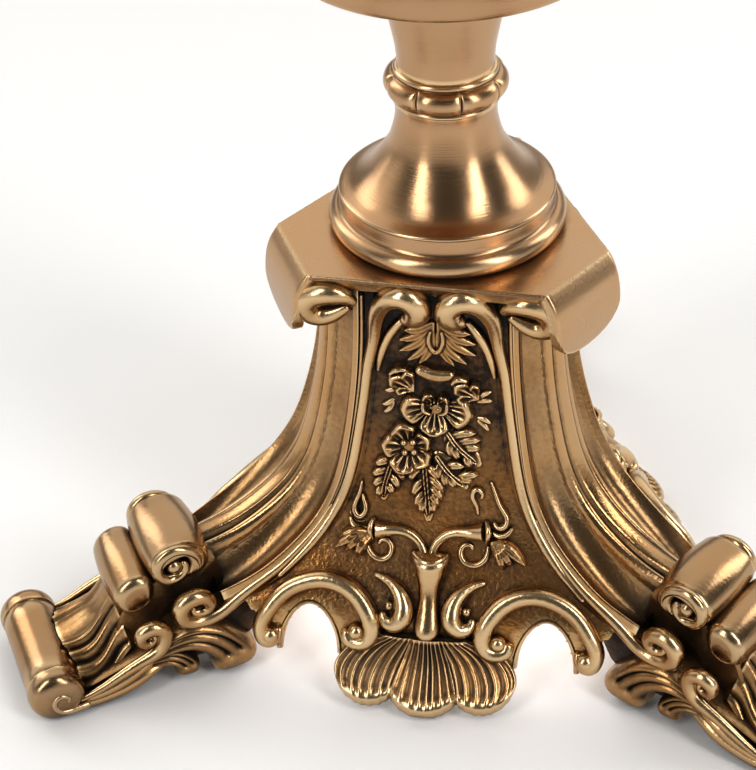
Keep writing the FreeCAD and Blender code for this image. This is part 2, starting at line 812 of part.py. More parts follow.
def shell():
    """Three-lobed shell: ribs fan out from the top of the apron."""
    top = APRON_Z + 9.0
    low = SHELL_LOW
    lobes = [disc(0.0, low + 8.8, 8.8)]
    for side in (-1.0, 1.0):
        lobes.append(disc(side * 14.8, low + 8.4, 8.2))
        lobes.append(disc(side * 20.4, low + 10.6, 5.6))
    body_face = polygon_face([at(-9.0, top), at(9.0, top), at(23.0, low + 13.0), at(14.0, low + 5.0),
                              at(-14.0, low + 5.0), at(-23.0, low + 13.0)])
    outline = union([through(f) for f in lobes + [body_face]])
    plate = zone(0.0, SHELL_T).common(outline)
    ribs = []
    for i in range(-7, 8):
        a = math.radians(i * 9.6)
        b = math.radians(i * 9.6 + 5.4)
        reach = 40.0
        ribs.append(through(polygon_face([
            at(0.6 * i, top + 1.0),
            at(reach * math.sin(a), top - reach * math.cos(a)),
            at(reach * math.sin(b), top - reach * math.cos(b)),
        ])))
    raised = zone(SHELL_T / 2, SHELL_T + RIB_H).common(outline).common(union(ribs))
    body = union([plate, raised])
    below = Part.makeBox(2 * TOE_R, 2 * TOE_R, TOE_R, Vector(-TOE_R, -2 * TOE_R, low - TOE_R))
    above = Part.makeBox(2 * TOE_R, 2 * TOE_R, TOE_R, Vector(-TOE_R, -2 * TOE_R, APRON_Z - FIT))
    taken = through(vase_face()).fuse(mirrored(through(arch(SCROLL_W + FIT))))
    cover = taken.common(above)
    curl = Part.makeSphere(4.0, Vector(ARCH_X - ARCH_A - 4.6, -face_point(15.0, 1.0), 15.0))
    body = body.cut([below, cover] + mirrored(curl))
    return body.cut([rivet(x, z) for x, z in rivet_spots()])


def write(name, shape):
    shape.exportStep("parts/%s.step" % name)
    print(name, shape.isValid(), len(shape.Solids), round(shape.Volume, 1))


def main():
    os.makedirs("parts", exist_ok=True)
    write("cap_plate", cap_plate())
    write("bell_foot", bell_foot())
    write("collar_ring", collar_ring())
    write("neck", neck())
    write("drip_pan", drip_pan())
    write("pricket", pricket())
    write("tie_rod", tie_rod())
    write("rod_washer", rod_washer())
    write("rod_nut", rod_nut())
    write("clamp_spider", clamp_spider())

    room = panel_room()
    lugs = []
    holes = []
    for x, z in screw_spots():
        lugs.append(lug(x, z))
        holes += list(screw(x, z))
    # The leg lies 60 degrees from the face, so the face's tools are turned back onto the leg.
    right = [turned_to(s, 30.0) for s in lugs]
    left = [s.mirror(ORIGIN, Vector(0, 1, 0)) for s in right]
    room_right = turned_to(room, 30.0)
    room_left = room_right.mirror(ORIGIN, Vector(0, 1, 0))
    hole_right = [turned_to(s, 30.0) for s in holes]
    hole_left = [s.mirror(ORIGIN, Vector(0, 1, 0)) for s in hole_right]
    leg = leg_solid().fuse(right + left).cut([room_right, room_left] + hole_right + hole_left)
    barrel = toe_barrel()
    pins = []
    for i, angle in enumerate(LEG_ANGLES):
        write("leg_%d" % (i + 1), turned_to(leg, angle))
        write("toe_barrel_%d" % (i + 1), turned_to(barrel, angle))
        pins.append(turned_to(toe_pin(), angle))
    write("toe_pins", Part.makeCompound(pins))

    panel = side_panel()
    spray = flower_spray()
    fan = shell()
    screws = []
    rivets = []
    spray_pins = []
    for i, angle in enumerate(FACE_ANGLES):
        write("side_panel_%d" % (i + 1), turned_to(panel, angle))
        write("flower_spray_%d" % (i + 1), turned_to(spray, angle))
        write("shell_%d" % (i + 1), turned_to(fan, angle))
        for x, z in screw_spots():
            for part in mirrored(screw(x, z)[0].fuse(screw(x, z)[1])):
                screws.append(turned_to(part, angle))
        rivets += [turned_to(rivet(x, z), angle) for x, z in rivet_spots()]
        spray_pins += [turned_to(rivet(x, z), angle) for x, z in pin_spots()]
    write("panel_screws", Part.makeCompound(screws))
    write("shell_rivets", Part.makeCompound(rivets))
    write("spray_pins", Part.makeCompound(spray_pins))


main()
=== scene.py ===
"""Candle holder: three-legged cast brass base, turned stem, drip pan and pricket.

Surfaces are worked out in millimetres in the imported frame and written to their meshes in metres.
A leg is drawn along +X with its width along Y, a face looks along -Y, and both are then turned.
"""

import json
import logging
import math
from dataclasses import dataclass, field
from enum import Enum
from typing import Sequence

import bpy
import numpy as np
from mathutils import Matrix

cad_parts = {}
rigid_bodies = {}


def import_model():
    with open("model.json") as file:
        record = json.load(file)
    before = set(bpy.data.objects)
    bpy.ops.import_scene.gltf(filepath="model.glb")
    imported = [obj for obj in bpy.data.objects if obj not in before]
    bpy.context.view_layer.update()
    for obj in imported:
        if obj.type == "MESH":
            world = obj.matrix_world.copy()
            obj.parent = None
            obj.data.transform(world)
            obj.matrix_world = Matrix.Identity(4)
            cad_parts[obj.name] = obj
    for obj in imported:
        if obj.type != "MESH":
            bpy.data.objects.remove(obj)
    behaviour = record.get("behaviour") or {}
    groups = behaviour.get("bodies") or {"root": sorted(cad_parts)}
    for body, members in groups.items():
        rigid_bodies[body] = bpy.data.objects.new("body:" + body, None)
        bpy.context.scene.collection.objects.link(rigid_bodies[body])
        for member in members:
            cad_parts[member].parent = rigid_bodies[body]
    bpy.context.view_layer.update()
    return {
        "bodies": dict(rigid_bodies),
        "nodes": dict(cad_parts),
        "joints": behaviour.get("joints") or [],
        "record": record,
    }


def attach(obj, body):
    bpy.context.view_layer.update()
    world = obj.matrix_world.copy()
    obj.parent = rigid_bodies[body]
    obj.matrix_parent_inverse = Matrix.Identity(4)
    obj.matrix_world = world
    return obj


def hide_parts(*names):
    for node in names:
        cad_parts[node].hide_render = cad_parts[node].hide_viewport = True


Array = np.ndarray
Points = Sequence[Sequence[float]]
log = logging.getLogger("candle_holder")

MM = 0.001
LEG_ANGLES = (-30.0, 90.0, 210.0)
FACE_ANGLES = (0.0, 120.0, 240.0)
SIN60 = math.sin(math.radians(60.0))
# Points round a bead, and the share of its section that is left at its very ends.
BEAD_SIDES = 14
BEAD_END = 0.04


def cubic(knots: Array, values: Array, where: Array) -> Array:
    """Natural cubic spline: a third-degree curve in each span, with no bend at the two ends.

    Args:
        knots: Rising parameter of each value.
        values: Rows the curve goes through.
        where: Parameters to read.

    Returns:
        One row for each parameter.
    """
    n = len(knots)
    span = np.diff(knots)
    system = np.eye(n)
    mid = np.arange(1, n - 1)
    system[mid, mid - 1] = span[:-1]
    system[mid, mid] = 2.0 * (span[:-1] + span[1:])
    system[mid, mid + 1] = span[1:]
    slope = np.diff(values, axis=0) / span[:, None]
    right = np.zeros_like(values)
    right[1:-1] = 6.0 * np.diff(slope, axis=0)
    bend = np.linalg.solve(system, right)
    k = np.clip(np.searchsorted(knots, where) - 1, 0, n - 2)
    t = (where - knots[k])[:, None]
    h = span[k][:, None]
    first = slope[k] - h * (2.0 * bend[k] + bend[k + 1]) / 6.0
    return values[k] + t * (first + t * (bend[k] / 2.0 + t * (bend[k + 1] - bend[k]) / (6.0 * h)))


def lengths(points: Array) -> Array:
    """Length run along a line up to each of its points."""
    return np.r_[0.0, np.cumsum(np.linalg.norm(np.diff(points, axis=0), axis=1))]


def even(points: Array, count: int) -> Array:
    """The line read again at equal steps of its own length."""
    run = lengths(points)
    at = np.linspace(0.0, run[-1], count)
    return np.stack([np.interp(at, run, column) for column in points.T], axis=1)


def flow(points: Points, count: int, closed: bool = False) -> Array:
    """Smooth line through points: a natural cubic over the chord length, at equal steps.

    Args:
        points: Rows to go through; further columns, such as a radius, are carried along.
        count: Number of rows wanted.
        closed: Whether the line comes back to its start.

    Returns:
        The rows of the line.
    """
    rows = np.asarray(points, float)
    n = len(rows)
    if closed:
        rows = np.vstack([rows[-3:], rows, rows[:4]])
    knots = lengths(rows)
    first, last = (knots[3], knots[3 + n]) if closed else (knots[0], knots[-1])
    fine = cubic(knots, rows, np.linspace(first, last, 12 * count))
    return even(fine, count + 1)[:-1] if closed else even(fine, count)


def along(values: Sequence[float], count: int) -> Array:
    """A few values spread evenly over a line, read at every station of it."""
    return np.interp(np.linspace(0, 1, count), np.linspace(0, 1, len(values)), values)


def unit(rows: Array) -> Array:
    """Directions of a length of 1."""
    return rows / np.linalg.norm(rows, axis=-1, keepdims=True)


def held(value: Array) -> Array:
    """The value, held between 0 and 1."""
    return np.clip(value, 0, 1)


def quarter(q: Array, power: float = 2.0) -> Array:
    """Quarter round that falls from 1 at q = 0 to 0 at q = 1: the root of 1 - q^power."""
    return np.sqrt(held(1 - q ** power))


def turns(count: int) -> Array:
    """Equal angles right round, from 0, in radians."""
    return np.linspace(0, 2 * math.pi, count, endpoint=False)


def about_axis(r: Array, z: Array, turn: Array) -> Array:
    """Points about the upright axis: x = r cos a, y = r sin a."""
    return np.stack([r * np.cos(turn), r * np.sin(turn), z + 0 * turn], -1)


def uneven(u: Array, ribs: int, spread: float, seed: int) -> Array:
    """Ribs passed on the way across a pad.

    Args:
        u: Share of the way across.
        ribs: Number of ribs.
        spread: How far a rib's width may depart from the mean, as a share of it.
        seed: Seed of the widths.

    Returns:
        A number that grows by 1 over each rib.
    """
    step = 1 + spread * np.random.default_rng(seed).uniform(-1, 1, ribs)
    return np.interp(u, np.r_[0, np.cumsum(step)] / step.sum(), np.arange(ribs + 1.0))


@dataclass
class Skin:
    """Faces of one closed surface, in millimetres."""

    verts: Array
    quads: Array
    tris: Array = field(default_factory=lambda: np.zeros((0, 3), int))

    def outward(self) -> "Skin":
        """Turns the faces over where the volume they enclose comes out negative."""
        q = self.quads
        three = np.vstack([q[:, [0, 1, 2]], q[:, [0, 2, 3]], self.tris])
        a, b, c = (self.verts[three[:, k]] for k in range(3))
        if np.einsum("ij,ij->i", a, np.cross(b, c)).sum() < 0:
            self.quads = self.quads[:, ::-1]
            self.tris = self.tris[:, ::-1]
        return self

    def turned(self, degrees: float) -> "Skin":
        """A copy turned about the upright axis."""
        a = math.radians(degrees)
        spin = np.array([[math.cos(a), math.sin(a), 0], [-math.sin(a), math.cos(a), 0], [0, 0, 1]])
        return Skin(self.verts @ spin, self.quads, self.tris)

    def mirrored(self, axis: int) -> "Skin":
        """A copy mirrored along one axis, with its faces turned to match."""
        sign = np.ones(3)
        sign[axis] = -1.0
        return Skin(self.verts * sign, self.quads[:, ::-1], self.tris[:, ::-1])


def join(skins: Sequence[Skin]) -> Skin:
    """Several skins as one."""
    start = np.cumsum([0] + [len(s.verts) for s in skins[:-1]])
    return Skin(
        np.vstack([s.verts for s in skins]),
        np.vstack([s.quads + k for s, k in zip(skins, start)]),
        np.vstack([s.tris + k for s, k in zip(skins, start)]),
    )


def both(parts: Sequence[Skin], axis: int) -> list[Skin]:
    """Skins followed by their mirror images along an axis."""
    return list(parts) + [part.mirrored(axis) for part in parts]


def sheet(points: Array, ring: bool = False, ends: bool = False) -> Skin:
    """Skin over a grid of points whose second index goes right round.

    Args:
        points: Grid (rows, points round, 3).
        ring: The rows also come back to the first one.
        ends: The first and last rows are closed by a fan to their middle.

    Returns:
        The closed skin.
    """
    m, n = points.shape[:2]
    index = np.arange(m * n).reshape(m, n)
    rows = np.vstack([index, index[:1]]) if ring else index
    grid = np.hstack([rows, rows[:, :1]])
    quads = np.stack([grid[:-1, :-1], grid[1:, :-1], grid[1:, 1:], grid[:-1, 1:]], -1).reshape(-1, 4)
    verts = points.reshape(-1, 3)
    tris = np.zeros((0, 3), int)
    if ends:
        verts = np.vstack([verts, points[0].mean(0), points[-1].mean(0)])
        low, high = grid[0], grid[-1]
        first = np.full(n, m * n)
        tris = np.vstack([
            np.stack([first, low[:-1], low[1:]], -1),
            np.stack([first + 1, high[1:], high[:-1]], -1),
        ])
    return Skin(verts, quads, tris).outward()


def shell_of(front: Array, back: Array, keep: Array | None = None) -> Skin:
    """Closed skin between a front grid and a back grid of the same shape.

    Args:
        front: Grid of points (rows, columns, 3).
        back: The grid behind it.
        keep: Which cells are there; walls close the surface round the others.

    Returns:
        The closed skin, without points that no face uses.
    """
    m, n = front.shape[:2]
    if keep is None:
        keep = np.ones((m - 1, n - 1), bool)
    index = np.arange(m * n).reshape(m, n)
    far = m * n
    a, b, c, d = index[:-1, :-1], index[1:, :-1], index[1:, 1:], index[:-1, 1:]
    quads = [
        np.stack([a, b, c, d], -1)[keep],
        np.stack([a, d, c, b], -1)[keep] + far,
    ]
    room = np.pad(keep, 1)
    for p, q, beside in (
        (a, d, room[:-2, 1:-1]),
        (c, b, room[2:, 1:-1]),
        (d, c, room[1:-1, 2:]),
        (b, a, room[1:-1, :-2]),
    ):
        edge = keep & ~beside
        quads.append(np.stack([p, q, q + far, p + far], -1)[edge])
    faces = np.vstack(quads)
    used, faces = np.unique(faces, return_inverse=True)
    verts = np.vstack([front.reshape(-1, 3), back.reshape(-1, 3)])[used]
    return Skin(verts, faces.reshape(-1, 4)).outward()


def sweep(path: Array, up: Array, width: Array, height: Array, blunt: float) -> Skin:
    """Round section carried along a path: path + width * side * cos a + height * up * sin a.

    Args:
        path: Points of the path.
        up: Direction of the section's height, one or one for each point.
        width: Half width of the section at each point.
        height: Half height of the section at each point.
        blunt: Length over which the ends are rounded off.

    Returns:
        The closed skin.
    """
    ahead = unit(np.gradient(path, axis=0))
    up = np.broadcast_to(up, path.shape)
    up = unit(up - (up * ahead).sum(1, keepdims=True) * ahead)
    side = np.cross(ahead, up)
    run = lengths(path)
    near = held(np.minimum(run, run[-1] - run) / blunt)
    close = np.maximum(quarter(1 - near), BEAD_END)
    a = turns(BEAD_SIDES)[None, :, None]
    across = (side * (width * close)[:, None])[:, None] * np.cos(a)
    high = (up * (height * close)[:, None])[:, None] * np.sin(a)
    return sheet(path[:, None] + across + high, ends=True)


def lathe(profile: Array, sides: int = 144, ring: bool = True) -> Skin:
    """Profile of (r, z) turned about the upright axis."""
    return sheet(about_axis(profile[:, :1], profile[:, 1:], turns(sides)), ring=ring, ends=not ring)


def ball(centre: Sequence[float], radius: float) -> Skin:
    """Round bead: latitude rings from pole to pole."""
    tilt = np.linspace(0.02, math.pi - 0.02, 14)[:, None]
    return sheet(centre + radius * about_axis(np.sin(tilt), np.cos(tilt), turns(22)), ends=True)


def link(name: str, data: bpy.types.ID) -> bpy.types.Object:
    """A new object in the scene."""
    obj = bpy.data.objects.new(name, data)
    bpy.context.scene.collection.objects.link(obj)
    return obj


class Slot(Enum):
    """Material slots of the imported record."""

    CAST = "cast_brass"
    SATIN = "satin_brass"
    STEEL = "steel"
    IRON = "iron"


class Graph:
    """Small helper that adds and links the shader nodes of one tree."""

    def __init__(self, tree: bpy.types.NodeTree) -> None:
        """Keeps the tree."""
        self.tree = tree

    def add(self, kind: str, **settings: object) -> bpy.types.Node:
        """A new node with its settings."""
        node = self.tree.nodes.new(kind)
        for name, value in settings.items():
            setattr(node, name, value)
        return node

    def feed(self, socket: bpy.types.NodeSocket, value: object) -> None:
        """Links an output to a socket, or sets the socket's own value."""
        if isinstance(value, bpy.types.NodeSocket):
            self.tree.links.new(value, socket)
        else:
            socket.default_value = value

    def fill(self, node: bpy.types.Node, values: dict) -> None:
        """Feeds several inputs of a node by their names."""
        for name, value in values.items():
            self.feed(node.inputs[name], value)

    def math(self, kind: str, *values: object, clamp: bool = False) -> bpy.types.NodeSocket:
        """Result of one sum on its values."""
        node = self.add("ShaderNodeMath", operation=kind, use_clamp=clamp)
        for socket, value in zip(node.inputs, values):
            self.feed(socket, value)
        return node.outputs[0]

    def swing(self, pattern: object, amount: float) -> bpy.types.NodeSocket:
        """A pattern about a half, as a swing of an amount about 0."""
        return self.math("MULTIPLY", self.math("SUBTRACT", pattern, 0.5), amount)

    def span(self, value: object, a: float, b: float, low: float, high: float,
             kind: str = "LINEAR") -> bpy.types.NodeSocket:
        """Value carried from the range a..b to low..high, held at its ends."""
        node = self.add("ShaderNodeMapRange", clamp=True, interpolation_type=kind)
        for socket, given in zip(node.inputs, (value, a, b, low, high)):
            self.feed(socket, given)
        return node.outputs[0]

    def blend(self, share: object, a: object, b: object) -> bpy.types.NodeSocket:
        """Colour between a and b."""
        node = self.add("ShaderNodeMix", data_type="RGBA")
        for k, value in ((0, share), (6, a), (7, b)):
            self.feed(node.inputs[k], value)
        return node.outputs[2]

    def axes(self, kind: str = "Object") -> bpy.types.bpy_prop_collection:
        """Separate x, y and z of a texture coordinate."""
        node = self.add("ShaderNodeSeparateXYZ")
        self.feed(node.inputs[0], self.add("ShaderNodeTexCoord").outputs[kind])
        return node.outputs

    def noise(self, scale: float, detail: float,
              stretch: Sequence[float] = (1, 1, 1)) -> bpy.types.NodeSocket:
        """Cloudy pattern on Object coordinates, stretched along an axis where asked."""
        place = self.add("ShaderNodeTexCoord").outputs["Object"]
        mapping = self.add("ShaderNodeMapping")
        self.fill(mapping, {"Vector": place, "Scale": stretch})
        node = self.add("ShaderNodeTexNoise")
        self.fill(node, {"Vector": mapping.outputs[0], "Scale": scale, "Detail": detail})
        return node.outputs[0]


class Paint(Graph):
    """Shader nodes of a new material."""

    def __init__(self, name: str) -> None:
        """Starts an empty material with its shader and output."""
        self.material = bpy.data.materials.new(name)
        self.material.use_nodes = True
        super().__init__(self.material.node_tree)
        self.tree.nodes.clear()
        self.shader = self.add("ShaderNodeBsdfPrincipled")
        self.feed(self.add("ShaderNodeOutputMaterial").inputs[0], self.shader.outputs[0])


# Scales of the noise patterns: mottling, specks, drift of colour, pits and lathe marks.
CLOUD, SPECK, DRIFT, PIT, MARK = 95.0, 620.0, 34.0, 900.0, 40.0
# What clean metal is multiplied by where it turns red, and the dark colour of patina and painted shade where
# it turns to slate.
REDDISH = (1.04, 0.9, 0.7)
SLATE = (0.8, 1.2, 1.7)


@dataclass(frozen=True)
class Finish:
    """Metal with dark patina and painted shade in its recesses, and bright worn ridges with a painted
    highlight on the side towards the light.

    The dark share is a sum: a base, how shut in a point is (painted shade with patina), how hollow
    the relief is there (the tone attribute, with painted shade on faces turned from the light) and a
    cloudy mottling. Clean metal drifts towards red and the dark colour towards slate.

    Attributes:
        name: Name of the material.
        slot: Material slot of the record; not used.
        metal: Colour of the clean metal.
        worn_and_lit: Colour of the rubbed ridges, kept by the tone to faces turned towards the light: wear
            and painted highlight.
        dark: Colour of the patina and of the painted shade.
        rough: Roughness of the clean metal.
        rough_dark: Roughness of the patina.
        shut_in_shade_and_patina: Painted shade and patina of a point that is wholly shut in, from the ambient
            occlusion.
        hollow: Patina of a full dip, and painted shade where the tone is lowered on faces turned from the
            light.
        mottle: Swing of the mottling.
        base: Patina everywhere.
        reach: How far the shut-in test looks, in metres.
        pits: Height of the pitted skin.
        turned: Strength of the lathe marks' highlights.
        upper: Darkening added in the upper part of the base.
        facing_shade: How much painted shade a face gets that looks away from the outside and from above; it
            lowers the tone.
    """

    name: str
    slot: Slot
    metal: tuple
    worn_and_lit: tuple
    dark: tuple
    rough: float
    rough_dark: float
    shut_in_shade_and_patina: float
    hollow: float
    mottle: float
    base: float
    reach: float
    pits: float
    turned: float = 0.0
    upper: float = 0.0
    facing_shade: float = 0.0

    def turn(self, g: Paint) -> None:
        """Draws the highlights out along the axis, as fine lathe marks do that run round it."""
        x, y, _ = g.axes()
        round_it = g.add("ShaderNodeCombineXYZ")
        g.fill(round_it, {"X": g.math("MULTIPLY", y, -1.0), "Y": x})
        g.fill(g.shader, {
            "Tangent": round_it.outputs[0], "Anisotropic": self.turned, "Anisotropic Rotation": 0.25,
        })

    def patina_and_shade(self, g: Paint, tone: bpy.types.NodeSocket,
               cloud: bpy.types.NodeSocket) -> bpy.types.NodeSocket:
        """Share of patina and painted shade at a point, from ambient occlusion, its tone and the cloudy
        pattern.
        """
        # Ambient occlusion darkens shut-in places and the gaps between pieces: painted shade, together with
        # the patina that gathers there.
        shade = g.add("ShaderNodeAmbientOcclusion", samples=6)
        g.fill(shade, {"Distance": self.reach})
        closed = g.math("SUBTRACT", 1.0, shade.outputs["AO"])
        total = g.math("MULTIPLY_ADD", closed, self.shut_in_shade_and_patina, self.base)
        total = g.math("ADD", total, g.math("MULTIPLY", tone, -self.hollow))
        total = g.math("ADD", total, g.swing(cloud, self.mottle))
        total = g.math("ADD", total, g.swing(g.noise(SPECK, 4.0), self.mottle), clamp=True)
        if self.upper:
            rise = g.span(g.axes()[2], 0.045, 0.08, 0.0, self.upper)
            total = g.math("ADD", total, rise, clamp=True)
        return total

    def material(self) -> bpy.types.Material:
        """Builds the node material."""
        g = Paint(self.name)
        tone = g.add("ShaderNodeAttribute", attribute_name="tone").outputs["Fac"]
        cloud = g.noise(CLOUD, 5.0)
        patina_and_shade = self.patina_and_shade(g, tone, cloud)
        # Worn colour on the ridges; through the tone it also stays off faces turned from the light, which
        # paints a highlight on the lit side.
        bright = g.math("MULTIPLY", g.span(tone, 0.25, 1.0, 0.0, 1.0), g.math("SUBTRACT", 1.0, patina_and_shade))
        warm = g.span(g.noise(DRIFT, 3.0), 0.38, 0.62, 0.0, min(1.0, 1.6 * self.mottle))
        reddish = [c * k for c, k in zip(self.metal, REDDISH)]
        slate = [c * k for c, k in zip(self.dark, SLATE)]
        clean = g.blend(warm, (*self.metal, 1), (*reddish, 1))
        aged_and_shaded = g.blend(warm, (*slate, 1), (*self.dark, 1))
        colour = g.blend(bright, g.blend(patina_and_shade, clean, aged_and_shaded), (*self.worn_and_lit, 1))
        rough = g.span(patina_and_shade, 0.0, 1.0, self.rough, self.rough_dark)
        height = g.math("MULTIPLY", g.noise(PIT, 3.0), self.pits)
        if self.turned:
            self.turn(g)
            marks = g.noise(MARK, 2.0, (1.0, 1.0, 90.0))
            height = g.math("ADD", height, g.math("MULTIPLY", marks, 0.3))
        bump = g.add("ShaderNodeBump")
        g.fill(bump, {"Strength": 0.5, "Distance": 0.0003, "Height": height})
        g.fill(g.shader, {
            "Base Color": colour,
            "Roughness": g.math("ADD", rough, g.swing(cloud, 0.1), clamp=True),
            "Metallic": g.span(patina_and_shade, 0.3, 1.0, 1.0, 0.55),
            "Normal": bump.outputs[0],
        })
        return g.material


FINISHES = {
    "cast": Finish(
        "cast_brass_patinated", Slot.CAST, (0.44, 0.28, 0.14), (0.74, 0.56, 0.34), (0.03, 0.014, 0.007),
        rough=0.24, rough_dark=0.5, shut_in_shade_and_patina=1.35, hollow=0.85, mottle=0.5, base=-0.04, reach=0.008,
        pits=0.5, facing_shade=0.75,
    ),
    "moulded": Finish(
        "moulded_brass", Slot.CAST, (0.51, 0.34, 0.185), (0.78, 0.6, 0.37), (0.04, 0.02, 0.010),
        rough=0.2, rough_dark=0.42, shut_in_shade_and_patina=1.3, hollow=1.0, mottle=0.45, base=-0.1, reach=0.009,
        pits=0.6, facing_shade=0.3,
    ),
    # Darker copy of the brass for the leg's core deep behind the ornament: painted shade, with patina on top.
    "recess": Finish(
        "dark_recess", Slot.CAST, (0.16, 0.09, 0.042), (0.42, 0.27, 0.13), (0.016, 0.009, 0.006),
        rough=0.3, rough_dark=0.5, shut_in_shade_and_patina=1.2, hollow=0.7, mottle=0.7, base=0.25, reach=0.012,
        pits=1.0, facing_shade=0.5,
    ),
    "ground": Finish(
        "matted_ground", Slot.CAST, (0.42, 0.245, 0.11), (0.60, 0.40, 0.2), (0.018, 0.010, 0.007),
        rough=0.28, rough_dark=0.5, shut_in_shade_and_patina=1.1, hollow=0.7, mottle=1.2, base=-0.02, reach=0.010,
        pits=1.6, upper=0.66,
    ),
    "satin": Finish(
        "satin_brass_turned", Slot.SATIN, (0.50, 0.33, 0.195), (0.72, 0.54, 0.335), (0.08, 0.04, 0.018),
        rough=0.25, rough_dark=0.42, shut_in_shade_and_patina=0.7, hollow=0.5, mottle=0.12, base=-0.10, reach=0.004,
        pits=0.1, turned=0.65,
    ),
    "smooth": Finish(
        "rubbed_brass", Slot.CAST, (0.51, 0.345, 0.205), (0.72, 0.54, 0.33), (0.06, 0.03, 0.014),
        rough=0.27, rough_dark=0.45, shut_in_shade_and_patina=0.7, hollow=0.7, mottle=0.2, base=-0.10, reach=0.003, pits=0.25,
    ),
    "rolled": Finish(
        "rubbed_rolls", Slot.CAST, (0.39, 0.262, 0.152), (0.60, 0.445, 0.27), (0.05, 0.025, 0.012),
        rough=0.22, rough_dark=0.45, shut_in_shade_and_patina=1.4, hollow=0.8, mottle=0.4, base=-0.04, reach=0.009,
        pits=0.35, facing_shade=0.25,
    ),
    "steel": Finish(
        "plain_steel", Slot.STEEL, (0.46, 0.45, 0.44), (0.62, 0.61, 0.6), (0.06, 0.045, 0.035),
        rough=0.32, rough_dark=0.55, shut_in_shade_and_patina=0.5, hollow=0.4, mottle=0.3, base=0.05, reach=0.004, pits=0.4,
    ),
    "iron": Finish(
        "black_iron", Slot.IRON, (0.09, 0.085, 0.08), (0.25, 0.24, 0.23), (0.02, 0.015, 0.012),
        rough=0.5, rough_dark=0.7, shut_in_shade_and_patina=0.5, hollow=0.4, mottle=0.5, base=0.1, reach=0.005, pits=1.0,
    ),
}


class Workshop:
    """Turns skins into dressed pieces on the frame.

    Attributes:
        ridge: Millimetres by which a ridge stands proud of its neighbourhood.
        outside: Weight of the outward direction in the direction the painted shade takes its light from.
        above: Weight of the upward direction in it.
    """

    ridge: float = 0.09
    outside: float = 0.75
    above: float = 0.66

    def __init__(self, nodes: dict) -> None:
        """Keeps the frame's nodes and makes the materials."""
        self.nodes = nodes
        self.materials = {key: finish.material() for key, finish in FINISHES.items()}

    def tone(self, mesh: bpy.types.Mesh, verts: Array, facing_shade: float) -> Array:
        """How far each point stands proud of its own neighbourhood, from -1 in dips to 1 on ridges, less
        painted shade on faces turned from the light.

        Args:
            mesh: The finished mesh.
            verts: Its points in millimetres.
            facing_shade: How much painted shade a face gets that looks away from the outside and from above.

        Returns:
            One number for each point: the distance to the surface smoothed over about a
            millimetre, measured along the normal, less painted shade by the share by which it
            looks away from the outside and from above, where the light comes from.
        """
        n = len(verts)
        edges = np.empty(2 * len(mesh.edges), np.int32)
        mesh.edges.foreach_get("vertices", edges)
        a, b = edges.reshape(-1, 2).T
        normal = np.empty(3 * n, np.float32)
        mesh.vertices.foreach_get("normal", normal)
        size = np.median(np.linalg.norm(verts[a] - verts[b], axis=1))
        count = np.bincount(np.r_[a, b], minlength=n)[:, None]
        soft = verts.copy()
        for _ in range(int(np.clip((1.0 / size) ** 2, 3, 24))):
            total = [np.bincount(a, soft[b, k], n) + np.bincount(b, soft[a, k], n) for k in range(3)]
            soft = 0.5 * soft + 0.5 * np.stack(total, 1) / np.maximum(count, 1)
        normal = normal.reshape(-1, 3)
        # Painted shade and highlight: faces turned away from the outside and from above, where the light
        # comes from, lose tone, so they take more dark colour and less worn colour.
        out = verts * (1, 1, 0)
        out = self.outside * out / np.maximum(np.linalg.norm(out, axis=1, keepdims=True), 1.0)
        away = 1 - np.clip((normal * (out + (0, 0, self.above))).sum(1), -0.3, 1.0)
        proud = ((verts - soft) * normal).sum(1)
        return np.clip(np.tanh(proud / self.ridge) - facing_shade * away, -1, 1)

    def piece(self, name: str, skin: Skin, finish: str, node: str, body: str = "base",
              sharp: float = 48.0) -> None:
        """Makes one dressed piece.

        Args:
            name: Name of the object.
            skin: Its faces.
            finish: Key of its finish.
            node: CAD node that it stands for.
            body: Body that it rides on.
            sharp: Angle in degrees above which an edge stays sharp.
        """
        mesh = bpy.data.meshes.new(name)
        quads, tris = skin.quads, skin.tris
        mesh.vertices.add(len(skin.verts))
        mesh.vertices.foreach_set("co", (skin.verts * MM).astype(np.float32).ravel())
        mesh.loops.add(quads.size + tris.size)
        mesh.loops.foreach_set("vertex_index", np.r_[quads.ravel(), tris.ravel()].astype(np.int32))
        mesh.polygons.add(len(quads) + len(tris))
        totals = np.r_[np.full(len(quads), 4), np.full(len(tris), 3)].astype(np.int32)
        mesh.polygons.foreach_set("loop_start", (np.cumsum(totals) - totals).astype(np.int32))
        mesh.update(calc_edges=True)
        mesh.validate()
        mesh.shade_smooth()
        mesh.set_sharp_from_angle(angle=math.radians(sharp))
        tone = self.tone(mesh, skin.verts, FINISHES[finish].facing_shade)
        mesh.attributes.new("tone", "FLOAT", "POINT").data.foreach_set("value", tone.astype(np.float32))
        mesh.materials.append(self.materials[finish])
        obj = link(name, mesh)
        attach(obj, body)
        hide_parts(node)
        log.info("%s: %d triangles", name, 2 * len(quads) + len(tris))

    def repaint(self, node: str, finish: str) -> None:
        """Gives a CAD node that stays in view one of the finishes."""
        slots = self.nodes[node].material_slots
        for slot in slots:
            slot.material = self.materials[finish]
        if not slots:
            self.nodes[node].data.materials.append(self.materials[finish])
        log.info("%s keeps its shape", node)


